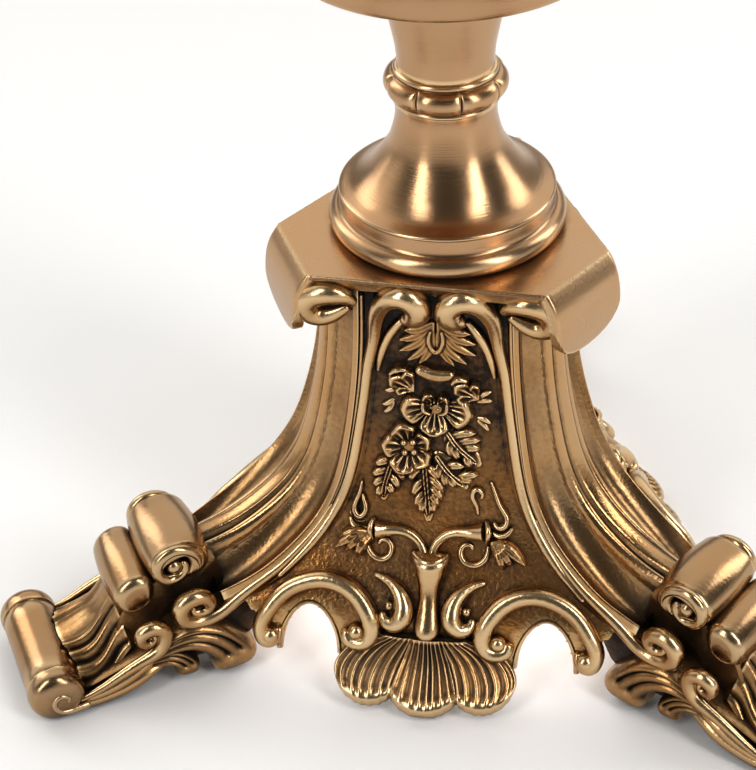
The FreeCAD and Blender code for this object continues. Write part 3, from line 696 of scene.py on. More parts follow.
@dataclass
class Stem:
    """Turned stem: bell foot, lobed collar and neck."""

    base_h: float = 127.0
    bell_h: float = 38.6
    collar_h: float = 9.6
    neck_h: float = 32.3
    bore: float = 4.4
    socket: float = 8.15
    collar_r: float = 16.8
    collar_core: float = 13.5
    lobes: int = 8
    neck_foot: float = 13.1
    neck_top: float = 18.0
    spigot: float = 8.0

    def bell(self) -> Skin:
        """Bell foot: ring, band, lip and flaring bell, all smooth runs of one turned outline."""
        a = np.radians(np.linspace(-90, 66, 22))
        ring = np.stack([30.0 + 3.0 * np.cos(a), 3.0 + 3.0 * np.sin(a)], 1)
        band = flow([(31.0, 5.85), (30.3, 6.1), (29.8, 6.8), (29.6, 8.0), (29.5, 9.6), (29.4, 10.6)], 18)
        bell = flow([
            (29.5, 10.75), (29.9, 11.0), (29.95, 11.4), (29.4, 11.9), (28.2, 12.4), (26.4, 13.2),
            (24.0, 14.9), (22.0, 16.8), (20.0, 19.2), (17.9, 22.1), (15.9, 25.5), (14.6, 29.5), (13.8, 34.0),
            (13.9, 36.8), (14.3, self.bell_h),
        ], 96)
        inside = np.array([
            (self.socket, self.bell_h), (self.socket, 30.6), (self.bore, 30.4), (self.bore, 26.1),
            (10.1, 26.1), (19.1, 13.9), (25.0, 6.2), (25.4, 0.0),
        ])
        profile = np.vstack([ring, band, bell, inside]) + (0, self.base_h)
        return lathe(profile, 180)

    def collar(self) -> Skin:
        """Collar: a turned core with a ring of eight pillow lobes, parted by narrow seams.

        Radius = core + stand-out * (half-round across the height) * (pillow round the ring).
        """
        half = math.pi / self.lobes
        z = np.r_[np.linspace(0, 1.3, 8), np.linspace(1.4, 8.0, 48), np.linspace(8.1, self.collar_h, 9)]
        z = z[:, None]
        core = np.interp(
            z, [0, 0.3, 0.8, 1.3, 1.6, 2.2, 7.2, 7.8, 8.2, 8.7, 9.2, 9.6],
            [14.3, 14.7, 14.8, 14.5, 14.0, 13.6, 13.5, 13.8, 14.1, 14.2, 14.0, 13.5],
        )
        turn = turns(320)[None]
        off = np.abs((turn + half) % (2 * half) - half) / half
        pillow = 0.62 + 0.38 * quarter(off, 4)
        stand = (self.collar_r - self.collar_core) * quarter((z - 4.7) / 3.35) * pillow
        r = np.maximum(core, self.collar_core + stand)
        r = np.vstack([r, np.full((2, r.shape[1]), self.socket)])
        z = np.vstack([z, [[self.collar_h], [0.0]]]) + self.base_h + self.bell_h
        return sheet(about_axis(r, z, turn), ring=True)

    def neck(self) -> Skin:
        """Neck: a flaring turned column on a spigot."""
        low = self.base_h + self.bell_h + self.collar_h
        rise = self.neck_top - self.neck_foot
        share = np.array([(0, 0), (0.0, 0.07), (0.06, 0.18), (0.29, 0.365), (0.59, 0.61), (0.86, 0.87),
                          (1, 1)])
        side = flow(share * (rise, self.neck_h) + (self.neck_foot, low), 40)
        end = low - self.collar_h - self.spigot
        inside = np.array([(self.bore, low + self.neck_h), (self.bore, end), (self.spigot, end),
                           (self.spigot, low)])
        return lathe(np.vstack([side, inside]))

    def build(self, shop: Workshop) -> None:
        """Makes the three turned pieces."""
        shop.piece("stem_bell_foot", self.bell(), "satin", "bell_foot")
        shop.piece("stem_collar", self.collar(), "satin", "collar_ring", sharp=60.0)
        shop.piece("stem_neck", self.neck(), "satin", "neck")


@dataclass
class Top:
    """Lift-off drip pan and the pricket it sits on."""

    pan_z: float = 207.5
    pan_h: float = 15.0
    pan_base: float = 42.6
    pan_rim: float = 48.0
    wall: float = 2.4
    seat: float = 8.0
    seat_h: float = 7.0
    lift_fit: float = 0.4
    spike_r: float = 5.0
    spike_h: float = 64.0
    tip: float = 0.8

    def pan(self) -> Skin:
        """Drip pan: flat floor, flaring wall and rolled rim as one closed turned outline."""
        z, top, half = self.pan_z, self.pan_z + self.pan_h, self.pan_z + self.pan_h * 0.5
        base, rim, wall = self.pan_base, self.pan_rim, self.wall
        mid = base + (rim - base) * 0.35
        hole = self.seat + self.lift_fit
        outer = flow([
            (base - 2.4, z), (base - 0.4, z + 0.9), (base + 0.4, z + 2.6), (mid, half),
            (rim - 0.9, top - 2.6),
        ], 40)
        lip = flow([
            (rim - 0.5, top - 2.2), (rim, top - 1.2), (rim - 0.9, top - 0.1), (rim - 2.2, top - 0.1),
            (rim - 3.2, top - 1.1),
        ], 20)
        inner = flow([
            (rim - wall - 1.3, top - 2.6), (mid - wall, half), (base - wall, z + wall + 1.8),
            (base - wall - 2.4, z + wall),
        ], 40)
        floor = np.array([
            (30.0, z + wall), (20.0, z + wall), (hole + 0.4, z + wall), (hole, z + wall - 0.4),
            (hole, z + 0.3), (hole + 0.3, z), (20.0, z), (30.0, z),
        ])
        return lathe(np.vstack([outer, lip, inner, floor]), 180)

    def pricket(self) -> Skin:
        """Pricket: shouldered seat with a long tapering spike, turned from base to tip."""
        z, top = self.pan_z, self.pan_z + self.spike_h
        step = z + self.seat_h
        seat = np.array([(0.05, z), (self.seat - 0.3, z), (self.seat, z + 0.3), (self.seat, step - 1.2)])
        shoulder = flow([
            (self.seat - 0.2, step - 0.5), (self.seat - 1.1, step), (self.spike_r + 0.6, step + 0.1),
            (self.spike_r, step + 0.8),
        ], 10)
        spike = np.array([
            (self.spike_r - 0.1, step + 2.0), (self.spike_r * 0.72, step + (top - step) * 0.4),
            (self.tip, top - self.tip), (self.tip * 0.6, top - 0.25), (0.02, top),
        ])
        return lathe(np.vstack([seat, shoulder, spike]), 64, ring=False)

    def build(self, shop: Workshop) -> None:
        """Makes the pan, which rides on its own body, and the pricket."""
        shop.piece("drip_pan_turned", self.pan(), "satin", "drip_pan", "pan")
        shop.piece("pricket_turned", self.pricket(), "satin", "pricket")


@dataclass
class CapPlate:
    """Three-sided cap plate with a turned-down ear over each leg."""

    top: float = 127.0
    thick: float = 5.0
    edge_h: float = 1.5
    side: float = 35.0
    corner: float = 45.5
    drop: float = 22.0
    flare: float = 4.5
    ear_t: float = 3.2
    soft: float = 1.2
    bore: float = 4.4
    twist: float = -2.5

    @property
    def half(self) -> float:
        """Half length of a cut corner."""
        return (2 * self.side - self.corner) * math.tan(math.radians(30.0))

    def plate(self) -> Skin:
        """Plate: at each angle the nearest of its six edges, softened, with rounded arrises."""
        turn = turns(480)
        sides = np.radians([-90.0, 30.0, 150.0, -30.0, 90.0, 210.0])[:, None]
        reach = np.array([self.side] * 3 + [self.corner] * 3)[:, None]
        share = np.clip(np.cos(turn[None] - sides), 0.02, 1) / reach
        power = 90
        edge = 1.0 / (share ** power).sum(0) ** (1 / power)
        long_side = (share[:3].max(0) > share[3:].max(0) * 1.002).astype(float)
        soft = 0.15 + 0.75 * long_side
        steps = np.radians(np.linspace(0, 90, 6))
        low, under = self.top - self.edge_h, self.top - self.thick
        rows = [(self.bore, self.top)]
        rows += [(edge - inset, self.top) for inset in (22.0, 12.0, 5.0, 1.8)]
        rows += [(edge - soft * (1 - math.sin(k)), self.top - soft * (1 - math.cos(k))) for k in steps]
        rows += [(edge - soft * (1 - math.cos(k)), low + soft * (1 - math.sin(k))) for k in steps]
        rows += [(edge - (0.9 + 1.8 * k) * long_side, low - 3.4 * k) for k in (0.05, 0.5, 1.0)]
        rows += [(edge - inset, under) for inset in (4.6, 12.0, 22.0)]
        rows.append((self.bore, under))
        r, z = (np.stack([row[k] + 0 * edge for row in rows]) for k in range(2))
        return sheet(about_axis(r, z, turn), ring=True)

    def ear(self) -> Skin:
        """Ear: a tongue that leaves the plate's corner, swings out and ends in a round lip.

        Height falls from the plate's top by a drop that grows from the sides to the middle; the
        distance out follows the ear's own curve at that height.
        """
        y = self.half * np.sin(np.radians(np.linspace(-90, 90, 49)))[None]
        share = np.linspace(0, 1, 44)[:, None]
        lift = np.interp(np.abs(y) / self.half, [0, 0.25, 0.5, 0.7, 0.86, 0.95, 1.0],
                         [0, 0.012, 0.05, 0.115, 0.22, 0.34, 0.5])
        z = self.top - 0.02 - share * (self.drop - 0.02) * (1 - lift)
        bend = np.array([(0.55, 0.16), (0.95, 0.45), (1.0, 0.75), (0.9, 1.0)])
        curve = flow(np.vstack([
            (self.corner - 0.05, self.top - 0.02), (self.corner, self.top) + bend * (self.flare, -self.drop),
        ]), 80)
        out = np.interp(-z, -curve[:, 1], curve[:, 0])
        round_y = held((np.abs(y) - self.half + self.soft) / self.soft)
        round_z = held((share - 0.955) * self.drop)
        ease = 1 - quarter(np.maximum(round_y, round_z))
        front = np.stack([out - self.soft * ease, y + 0 * z, z], -1)
        back = np.stack([out - self.ear_t, y + 0 * z, z], -1)
        return shell_of(front, back)

    def build(self, shop: Workshop) -> None:
        """Makes the plate with its three ears as one piece."""
        ears = [self.ear().turned(angle) for angle in LEG_ANGLES]
        skin = join([self.plate()] + ears).turned(self.twist)
        shop.piece("cap_plate_with_ears", skin, "smooth", "cap_plate", sharp=40.0)


@dataclass
class Leg:
    """Cast leg: moulded band, head scroll, knee and counter rolls, fluted foot, scrolls, leaves, toe."""

    top_r: float = 38.0
    knee_in: float = 82.0
    plate_low: float = 122.0
    thick: float = 12.0
    roll_w: float = 14.0
    toe_r: float = 132.0
    toe_z: float = 8.0
    toe_round: float = 8.4
    barrel: float = 8.1
    barrel_w: float = 15.5
    fit: float = 0.15
    hollow: float = 2.5
    edge_deep: float = 6.2
    wall_s: float = 17.6
    # Share of the reach, share of the height, half width, depth of section.
    sections: tuple = (
        (0.0, 1.0, 14.2, 1.0), (0.007, 0.902, 14.2, 1.0), (0.027, 0.795, 14.6, 1.0),
        (0.068, 0.689, 15.4, 1.0), (0.136, 0.582, 16.8, 1.02), (0.234, 0.488, 18.4, 1.08),
        (0.375, 0.42, 19.6, 1.2), (0.568, 0.369, 20.2, 1.45), (0.786, 0.334, 20.0, 1.85),
        (1.0, 0.316, 18.5, 2.3),
    )
    # Share of the half width, depth below the crest: the crest's roll and fillet, then the edge.
    crest_line: tuple = (
        (0, 0), (0.05, 0.02), (0.09, 0.1), (0.12, 0.3), (0.145, 0.8), (0.165, 1.2), (0.185, 0.95),
        (0.205, 0.84), (0.235, 0.8), (0.265, 0.95), (0.295, 1.25), (0.315, 1.6), (0.33, 2.1), (0.345, 3.1),
    )
    edge_line: tuple = ((0.935, 4.3), (0.95, 4.35), (0.965, 4.55), (0.98, 4.95), (1.0, 5.6))

    def moulding(self, q: Array) -> Array:
        """Depth of the band at a share of its half width: crest, a hollow 4 t (1 - t) deep, edge."""
        a, b = self.crest_line[-1][0], self.edge_line[0][0]
        t = held((q - a) / (b - a))
        points = np.array(self.crest_line + self.edge_line).T
        return np.interp(q, *points) + self.hollow * 4 * t * (1 - t)

    def crest(self) -> Array:
        """Sections as rows of r, z, half width and depth."""
        reach = self.knee_in - self.top_r
        return np.array(self.sections) * (reach, self.plate_low, 1, 1) + (self.top_r, 0, 0, 0)

    @staticmethod
    def normals(line: Array) -> Array:
        """Outward normals (-dz, dr) of a line that runs down and out."""
        t = unit(np.gradient(line[:, :2], axis=0))
        return np.stack([-t[:, 1], t[:, 0]], 1)

    def stations(self, count: int) -> tuple[Array, Array]:
        """Crest rows at equal steps with their normals."""
        rows = self.crest()
        run = lengths(rows[:, :2])
        fine = cubic(run, rows, np.linspace(0, run[-1], count))
        return fine, self.normals(fine)

    def edge(self, count: int) -> Array:
        """Edge of the band as rows of r, half width, z."""
        rows, n = self.stations(400)
        deep = self.edge_deep * rows[:, 3]
        line = np.stack([rows[:, 0] - deep * n[:, 0], rows[:, 2], rows[:, 1] - deep * n[:, 1]], 1)
        return even(line, count)

    def band(self) -> Skin:
        """Band: its section of (share of width, depth) carried down the crest, depth along the normal.

        A ragged casting seam is raised along the groove beside the crest.
        """
        rows, n = self.stations(130)
        fine = ((0, 1, 46), (0.12, 0.2, 12), (0.3, 0.38, 18), (0.9, 1.0, 16))
        q = np.unique(np.concatenate([np.linspace(*part) for part in fine]))
        depth = self.moulding(q)
        place, width, height = 0.35, 0.016, 0.09
        seam = np.random.default_rng(5).normal(size=(len(rows), 2, len(q)))
        seam = height * np.abs(seam * np.exp(-((q - place) / width) ** 2))
        full = np.r_[-q[::-1], q[1:]]
        deep = np.r_[depth[::-1], depth[1:]][None] * rows[:, 3:]
        deep = deep - np.concatenate([seam[:, 0, ::-1], seam[:, 1, 1:]], 1)
        back = np.maximum(self.thick, self.edge_deep * rows[:, 3:] + 2.5)
        under, low = rows[:, 2:3] - 1.4, (self.edge_deep + 0.1) * rows[:, 3:]
        s = np.hstack([full[None] * rows[:, 2:3], under, under, 0 * back, -under, -under])
        d = np.hstack([deep, low, back, back, back, low])
        points = np.stack([rows[:, :1] - d * n[:, :1], s, rows[:, 1:2] - d * n[:, 1:]], -1)
        points[..., 2] = np.minimum(points[..., 2], self.plate_low)
        return sheet(points, ends=True)

    @staticmethod
    def crosswise(heart: Sequence[float], radius: Array, s: Array, turn: Array) -> Skin:
        """Closed skin round an axis that runs across the leg, kept above the floor."""
        z = np.maximum(heart[1] + radius * np.sin(turn), 0.0)
        return sheet(np.stack([heart[0] + radius * np.cos(turn), s + 0 * turn, z], -1), ends=True)

    def roll(self, outline: Points, heart: tuple, half: float, fillet: float, crown: float,
             eye: float = 0.0, deep: float = 0.0) -> Skin:
        """Scroll roll across the leg: an outline, seen from its heart, carried from end to end.

        Args:
            outline: (r, z) points of the outline.
            heart: Point the outline is seen from.
            half: Half length of the roll.
            fillet: Rounding of the two ends.
            crown: How much the middle swells.
            eye: Radius of the round recess in each end, or 0.
            deep: Depth of that recess.

        Returns:
            The closed skin.
        """
        turn = turns(120) - math.pi
        line = flow(outline, 400, closed=True) - heart
        way = np.arctan2(line[:, 1], line[:, 0])
        order = np.argsort(way)
        reach = np.interp(turn, way[order], np.hypot(line[:, 0], line[:, 1])[order], period=2 * math.pi)
        reach = reach * (1 - 0.7 * crown)
        flat = reach - fillet
        rows = [(flat + fillet * math.cos(k), half - fillet * (1 - math.sin(k)))
                for k in np.radians(np.linspace(0, 90, 8))]
        if eye:
            rim = np.maximum(np.minimum(flat - 0.2, eye + 0.8), 0.5)
            inner = np.minimum(flat - 0.5, eye)
            rows += [(rim, half + 0.05), ((rim + inner) / 2, half - 0.1), (inner, half - 0.7),
                     (inner * 0.96, half - deep), (inner * 0.5, half - deep - 0.2)]
        else:
            rows += [(flat * 0.6, half + 0.1), (flat * 0.25, half + 0.15)]
        out = [r for r, _ in rows]
        s = np.array([v for _, v in rows])
        swell = np.linspace(-1, 1, 15)[1:-1]
        body = [reach * (1 + crown * (1 - v * v)) for v in swell]
        where = np.r_[-s[::-1], swell * (half - fillet), s][:, None]
        return self.crosswise(heart, np.stack(out[::-1] + body + out), where, turn)

    @staticmethod
    def tube(points: Points, count: int) -> Skin:
        """Round bead through rows of (r, s, z, radius)."""
        line = flow(points, count)
        return sweep(line[:, :3], np.array((0.0, 1.0, 0.0)), line[:, 3], line[:, 3], blunt=1.2)

    def knee(self) -> list[Skin]:
        """Knee roll with a recessed eye, a ball and a spiral lip in each end."""
        outline = [(80.6, 36.4), (81.4, 42.2), (86.6, 46.3), (93.5, 46.2), (99.2, 41.8), (99.4, 36.2),
                   (94.5, 32.9), (86.5, 32.6)]
        knee = self.roll(outline, (91.8, 38.9), self.roll_w, fillet=3.4, crown=0.1, eye=4.6, deep=3.0)
        eye = ball((91.8, 12.0, 38.6), 2.5)
        share = np.linspace(0, 1, 15)
        a = np.radians(205 - 420 * share)
        reach = 7.6 - 4.9 * share
        width = np.interp(share, [0, 0.15, 0.5, 0.8, 1], [0.7, 1.5, 1.9, 1.5, 0.9])
        spiral = np.stack([91.8 + reach * np.cos(a), 13.2 - 0.4 * share, 38.6 + reach * np.sin(a), width], 1)
        return [knee] + both([eye, self.tube(spiral, 120)], 1)

    def counter(self) -> Skin:
        """Counter roll: a plain fat roll, higher than it is deep, with rounded ends."""
        outline = [(97.8, 33.4), (99.6, 37.4), (104.2, 38.4), (109.0, 35.8), (111.0, 31.0), (109.6, 26.4),
                   (104.6, 24.6), (99.4, 27.2)]
        return self.roll(outline, (104.6, 31.4), self.roll_w, fillet=3.2, crown=0.1)

    def fan(self) -> Skin:
        """Fluted fan from the counter roll to the toe.

        A straight blend from an arch under the roll to a flatter arch at the toe, hollowed in
        between, with rounded flutes that stand up towards both sides and swing as they go.
        """
        q = np.linspace(-1, 1, 181)[None]
        v = np.linspace(0, 1, 50)[:, None]
        low = np.abs(q)
        start = np.stack([109.8 - 2.2 * q * q, 13.4 * q, 28.5 - 15.0 * low ** 2.2], -1)
        end = 14.4 - 9.4 * low ** 2.6
        barrel = np.sqrt(self.barrel ** 2 - (end - self.toe_z) ** 2)
        stop = np.stack([self.toe_r - 0.4 - barrel, 14.9 * q, end], -1)
        grid = start * (1 - v[..., None]) + stop * v[..., None]
        hollow = np.sin(math.pi * v) * (3.2 - 1.0 * low)
        grid[..., 0] -= 0.6 * hollow
        grid[..., 2] -= 0.8 * hollow
        phase = held((low + 0.05 * np.sin(2 * math.pi * v) - 0.26) / 0.74)
        wave = np.abs(np.sin(math.pi * 3.2 * phase)) ** 0.8 * held(phase * 5)
        lift = 2.5 * wave * (0.5 + 0.5 * v)
        side = np.sign(q) * np.clip(low * 1.2 - 0.3, 0, 0.85)
        front = grid + np.stack([0.3 * lift, side * lift, 0.8 * lift * (1 - 0.5 * low)], -1)
        back = grid - np.stack([2.6 + 0 * lift, 1.6 * side + 0 * lift, 2.0 + 0 * lift], -1)
        return shell_of(front, back)

    @staticmethod
    def block(outline: Points, heart: tuple, rows: tuple) -> Skin:
        """Upright outline carried across the leg: at each (share, s) it is drawn in towards its heart."""
        line = even(np.vstack([outline, outline[:1]]), 181)[:-1] - heart
        points = [np.stack([heart[0] + line[:, 0] * k, np.full(len(line), s), heart[1] + line[:, 1] * k], 1)
                  for k, s in rows]
        return sheet(np.stack(points), ends=True)

    def foot(self) -> Skin:
        """Core of the foot behind its ornament."""
        outline = [(79.0, 35.5), (96.0, 34.5), (106.5, 28.0), (112.0, 16.0), (121.0, 9.5), (124.2, 8.0),
                   (124.4, 4.5), (121.0, 2.2), (108.5, 5.0), (95.0, 11.0), (84.0, 19.5), (77.0, 25.5)]
        return self.block(outline, (102.0, 19.0), ((0.97, -11.0), (1.0, -10.2), (1.0, 10.2), (0.97, 11.0)))

    def wall(self) -> Skin:
        """Wall of one side that carries the scrolls and leaves, from the leg's edge to the toe."""
        outline = [(71.0, 25.0), (78.0, 23.4), (86.0, 21.5), (95.0, 20.0), (99.0, 17.0), (104.0, 13.5),
                   (112.0, 10.2), (122.0, 6.6), (127.5, 5.2), (127.5, 1.6), (120.0, 2.0), (110.0, 4.4),
                   (101.0, 6.6), (94.0, 6.8), (86.0, 6.4), (78.0, 6.6), (71.0, 11.0), (66.0, 20.0)]
        rows = ((1.0, 9.0), (1.0, 16.9), (0.99, 17.5), (0.97, 17.8), (0.6, 17.8))
        return self.block(outline, (95.0, 13.5), rows)

    def side_scrolls(self) -> list[Skin]:
        """Beads and volutes of one side: edge bead with its rosette, stem scroll, lower bead."""
        edge = self.edge(60)
        keep = edge[(edge[:, 2] > 31.0) & (edge[:, 2] < 52.0)][::4]
        bead = [(r - 0.6, 0.98 * w, z + 0.6, 0.4 + 0.065 * (52.0 - z)) for r, w, z in keep]
        bead += [(75.6, 18.9, 25.8, 2.0), (81.0, 18.9, 22.2, 2.1), (88.2, 18.7, 20.9, 2.4),
                 (92.3, 18.6, 23.4, 2.6), (92.3, 18.6, 28.1, 2.7), (88.2, 18.6, 30.4, 2.6),
                 (84.3, 18.6, 28.1, 2.2), (84.3, 18.4, 24.9, 1.8), (86.9, 18.2, 23.7, 1.5),
                 (88.9, 18.0, 24.7, 1.3), (88.8, 17.8, 26.6, 1.0)]
        stem = [(126.5, 20.2, 4.6, 0.9), (121.0, 20.2, 6.2, 1.15), (115.0, 20.2, 8.8, 1.4),
                (109.8, 20.1, 11.2, 1.6), (104.4, 19.9, 13.2, 1.9), (100.4, 19.8, 15.4, 2.2),
                (98.6, 19.8, 19.1, 2.4), (98.9, 19.8, 22.3, 2.4), (102.2, 19.8, 24.2, 2.3),
                (105.5, 19.7, 22.3, 2.0), (105.4, 19.4, 19.4, 1.6), (102.9, 19.0, 18.0, 1.3),
                (101.2, 18.8, 19.4, 1.1), (102.0, 18.6, 20.8, 0.9)]
        low = [(128.0, 19.4, 2.7, 1.8), (121.0, 19.8, 3.2, 2.0), (113.0, 20.2, 4.8, 2.1),
               (106.0, 20.0, 7.2, 1.9), (99.0, 18.4, 9.0, 1.0), (94.0, 17.0, 10.0, 0.6)]
        mid = [(127.0, 19.2, 3.9, 1.2), (120.0, 19.8, 5.0, 1.8), (113.0, 20.0, 7.2, 2.0),
               (107.0, 19.6, 9.6, 1.8), (101.0, 18.4, 11.4, 0.9), (96.0, 17.0, 12.0, 0.6)]
        return [self.tube(bead, 190), self.tube(stem, 130), self.tube(mid, 60), self.tube(low, 60)]

    def leaf(self, outer: Points, inner: Points, lift: float) -> Skin:
        """One curling acanthus lobe between its outer and its inner edge.

        Points are a blend from the outer line to the inner one. The height is a crown across the
        lobe, cut by furrows between ribs of slightly uneven width, which fade into a smooth lip.

        Args:
            outer: Points of one edge, from root to tip.
            inner: Points of the other edge.
            lift: Height of the crown at the tip.

        Returns:
            The closed skin.
        """
        u = np.linspace(0, 1, 74)[None]
        v = np.linspace(0, 1, 48)[:, None]
        a, b = flow(outer, 48), flow(inner, 48)
        r, z = (a[:, k:k + 1] * (1 - u) + b[:, k:k + 1] * u for k in range(2))
        z = np.maximum(z, 0.2)
        wave = np.abs(np.sin(math.pi * uneven(u, ribs=3, spread=0.22, seed=3))) ** 0.6
        # Share of the length where the smooth lip starts.
        lip = 0.8174
        show = held(v / 0.1) * held((lip - v) / 0.06)
        end = quarter(held((v - lip) / (1 - lip)))
        high = quarter(2 * u - 1, 4) * (1 - 0.34 * (1 - wave) * show) * (0.12 + 0.88 * end)
        s = self.wall_s + lift * (0.4 + 0.6 * v) * (0.35 + high)
        return shell_of(np.stack([r, s, z], -1), np.stack([r, 14.0 + 0 * s, z], -1))

    def leaves(self) -> list[Skin]:
        """Two acanthus lobes of one side."""
        lobes = (
            ([(105.0, 12.6), (98.5, 18.0), (90.0, 21.0), (81.6, 19.0), (75.0, 12.8), (71.6, 6.2),
              (73.6, 1.8)],
             [(105.0, 10.2), (98.8, 12.0), (93.0, 12.2), (88.0, 9.8), (85.8, 6.6), (85.8, 3.8), (84.0, 1.4)],
             5.4),
            ([(108.0, 10.0), (102.0, 12.8), (96.0, 13.0), (91.4, 10.0), (89.2, 5.6), (90.4, 2.4)],
             [(108.0, 7.0), (102.6, 8.2), (98.8, 8.0), (96.6, 6.4), (96.2, 4.6), (96.4, 3.0)], 3.6),
        )
        return [self.leaf(*lobe) for lobe in lobes]

    def cap(self) -> Skin:
        """Toe cap of one side: a domed end turned about the toe's axis."""
        start, radius = self.barrel_w + self.fit, self.toe_round
        dome = flow([
            (start + 0.2, radius - 0.1), (17.2, radius), (19.2, radius - 0.25), (20.8, radius - 1.2),
            (21.8, radius - 2.8), (22.2, 3.6), (22.3, 1.6), (22.3, 0.05),
        ], 40)
        profile = np.vstack([(start, 3.0), (start, radius - 0.4), dome])
        return self.crosswise((self.toe_r, self.toe_z), profile[:, 1:], profile[:, :1], turns(96))

    def curl(self) -> Skin:
        """Small raised curl on the end of a toe cap, which runs out along the foot's lower edge."""
        return self.tube([(123.0, 21.0, 3.4, 1.1), (127.0, 21.6, 3.4, 1.1), (130.8, 21.9, 3.8, 1.0),
                          (133.4, 21.9, 6.0, 0.9), (133.2, 21.9, 8.8, 0.85), (130.9, 21.9, 9.9, 0.8),
                          (129.2, 21.9, 8.4, 0.75), (129.9, 21.9, 6.8, 0.6)], 80)

    def barrel_skin(self) -> Skin:
        """Toe barrel: a plain roll with softened arrises."""
        rows = [(0.0, 0.5), (0.05, 0.2), (0.3, 0.0), (3.5, 0.0), (7.5, 0.0), (11.5, 0.0)]
        inset, cut = np.array(rows + [(self.barrel_w, 0.0)]).T
        s = np.r_[inset - self.barrel_w, (self.barrel_w - inset)[-2::-1]][:, None]
        rho = self.barrel - np.r_[cut, cut[-2::-1]][:, None]
        return self.crosswise((self.toe_r, self.toe_z), rho, s, turns(128))

    def head(self) -> Skin:
        """Block at the head of the leg, under the plate, that carries the head scrolls of its two sides."""
        outline = [(44.6, 116.6), (43.6, 113.2), (40.0, 111.2), (36.0, 110.6), (31.6, 110.6), (30.6, 114.5),
                   (34.0, 119.6), (39.0, 121.2), (43.2, 120.2)]
        return self.roll(outline, (38.5, 115.5), half=9.6, fillet=0.8, crown=0.0)

    def build(self, shop: Workshop) -> None:
        """Makes the three legs, each as a casting with its rubbed rolls, and the toe barrels."""
        ornate = join([self.fan(), self.head()] + both(self.side_scrolls() + self.leaves(), 1))
        core = join([self.foot()] + both([self.wall()], 1))
        smooth = join(self.knee() + [self.counter()] + both([self.cap(), self.curl()], 1))
        band, barrel = self.band(), self.barrel_skin()
        for i, angle in enumerate(LEG_ANGLES):
            shop.piece(f"leg_{i + 1}_band", band.turned(angle), "moulded", f"leg_{i + 1}")
            shop.piece(f"leg_{i + 1}_casting", ornate.turned(angle), "cast", f"leg_{i + 1}")
            # The core takes the darker recess brass: painted shade.
            shop.piece(f"leg_{i + 1}_core", core.turned(angle), "recess", f"leg_{i + 1}")
            shop.piece(f"leg_{i + 1}_rolls", smooth.turned(angle), "rolled", f"leg_{i + 1}")
            shop.piece(f"toe_{i + 1}_barrel", barrel.turned(angle), "rolled", f"toe_barrel_{i + 1}")


class Face:
    """Front of a side panel: where a point of it lies, and which way it looks."""

    def __init__(self, leg: Leg, inset: float = 1.5, base_h: float = 127.0) -> None:
        """Works out the line of the face from the edges of the legs beside it."""
        edge = leg.edge(120)
        out = 0.5 * edge[:, 0] + SIN60 * edge[:, 1]
        self.edge_x = SIN60 * edge[:, 0] - 0.5 * edge[:, 1]
        self.edge_z = edge[:, 2]
        rows = np.stack([out - inset, edge[:, 2]], 1)[::12]
        last = np.array((out[-1] - inset, edge[-1, 2]))
        rows = np.vstack([
            (rows[1, 0] - 0.1, base_h + 5.0), rows[1:],
            last, last * (1, 0.52) + (4.5, 0), last * (1, 0.12) + (14.5, 0), last * (1, -0.08) + (21.0, 0),
        ])
        self.line = flow(rows, 500)
        self.slope = Leg.normals(self.line)

    def half_width(self, z: Array) -> Array:
        """Half width of the panel at height z; it draws in again below the legs' edges."""
        wide = np.interp(-z, -self.edge_z, self.edge_x)
        low = self.edge_z[-1]
        return np.where(z < low, self.edge_x[-1] - 9.0 * held((low - z) / (low - 11.0)), wide)

    def look(self, z: Array) -> Array:
        """Outward direction of the face at height z."""
        n = [np.interp(-z, -self.line[:, 1], self.slope[:, k]) for k in range(2)]
        return np.stack([0 * n[0], -n[0], n[1]], -1)

    def place(self, x: Array, z: Array, high: Array | float = 0.0) -> Array:
        """Point of the face at (x, z), raised along its outward direction."""
        out = np.interp(-z, -self.line[:, 1], self.line[:, 0])
        flat = np.stack([x + 0 * z, -out + 0 * x, z + 0 * x], -1)
        return flat + self.look(z + 0 * x) * np.asarray(high + 0 * x + 0 * z)[..., None]

    def bead(self, points: Points, lift: float = 0.35, flat: float = 1.0, count: int = 80,
             blunt: float = 0.8) -> Skin:
        """Bead that lies on the face.

        Args:
            points: Rows of (x, z, radius), with the height of the middle as a fourth column if given.
            lift: Height of the middle as a share of the radius, where no height is given.
            flat: Height of the section against its width.
            count: Number of stations.
            blunt: Length over which the ends are rounded off.

        Returns:
            The closed skin.
        """
        line = flow(points, count)
        high = line[:, 3] if line.shape[1] > 3 else lift * line[:, 2]
        path = self.place(line[:, 0], line[:, 1], high)
        return sweep(path, self.look(line[:, 1]), line[:, 2], flat * line[:, 2], blunt)

    def knob(self, x: float, z: float, high: float, radius: float) -> Skin:
        """Ball at (x, z), with its middle at a height over the face."""
        return ball(self.place(np.array(x), np.array(z), high), radius)


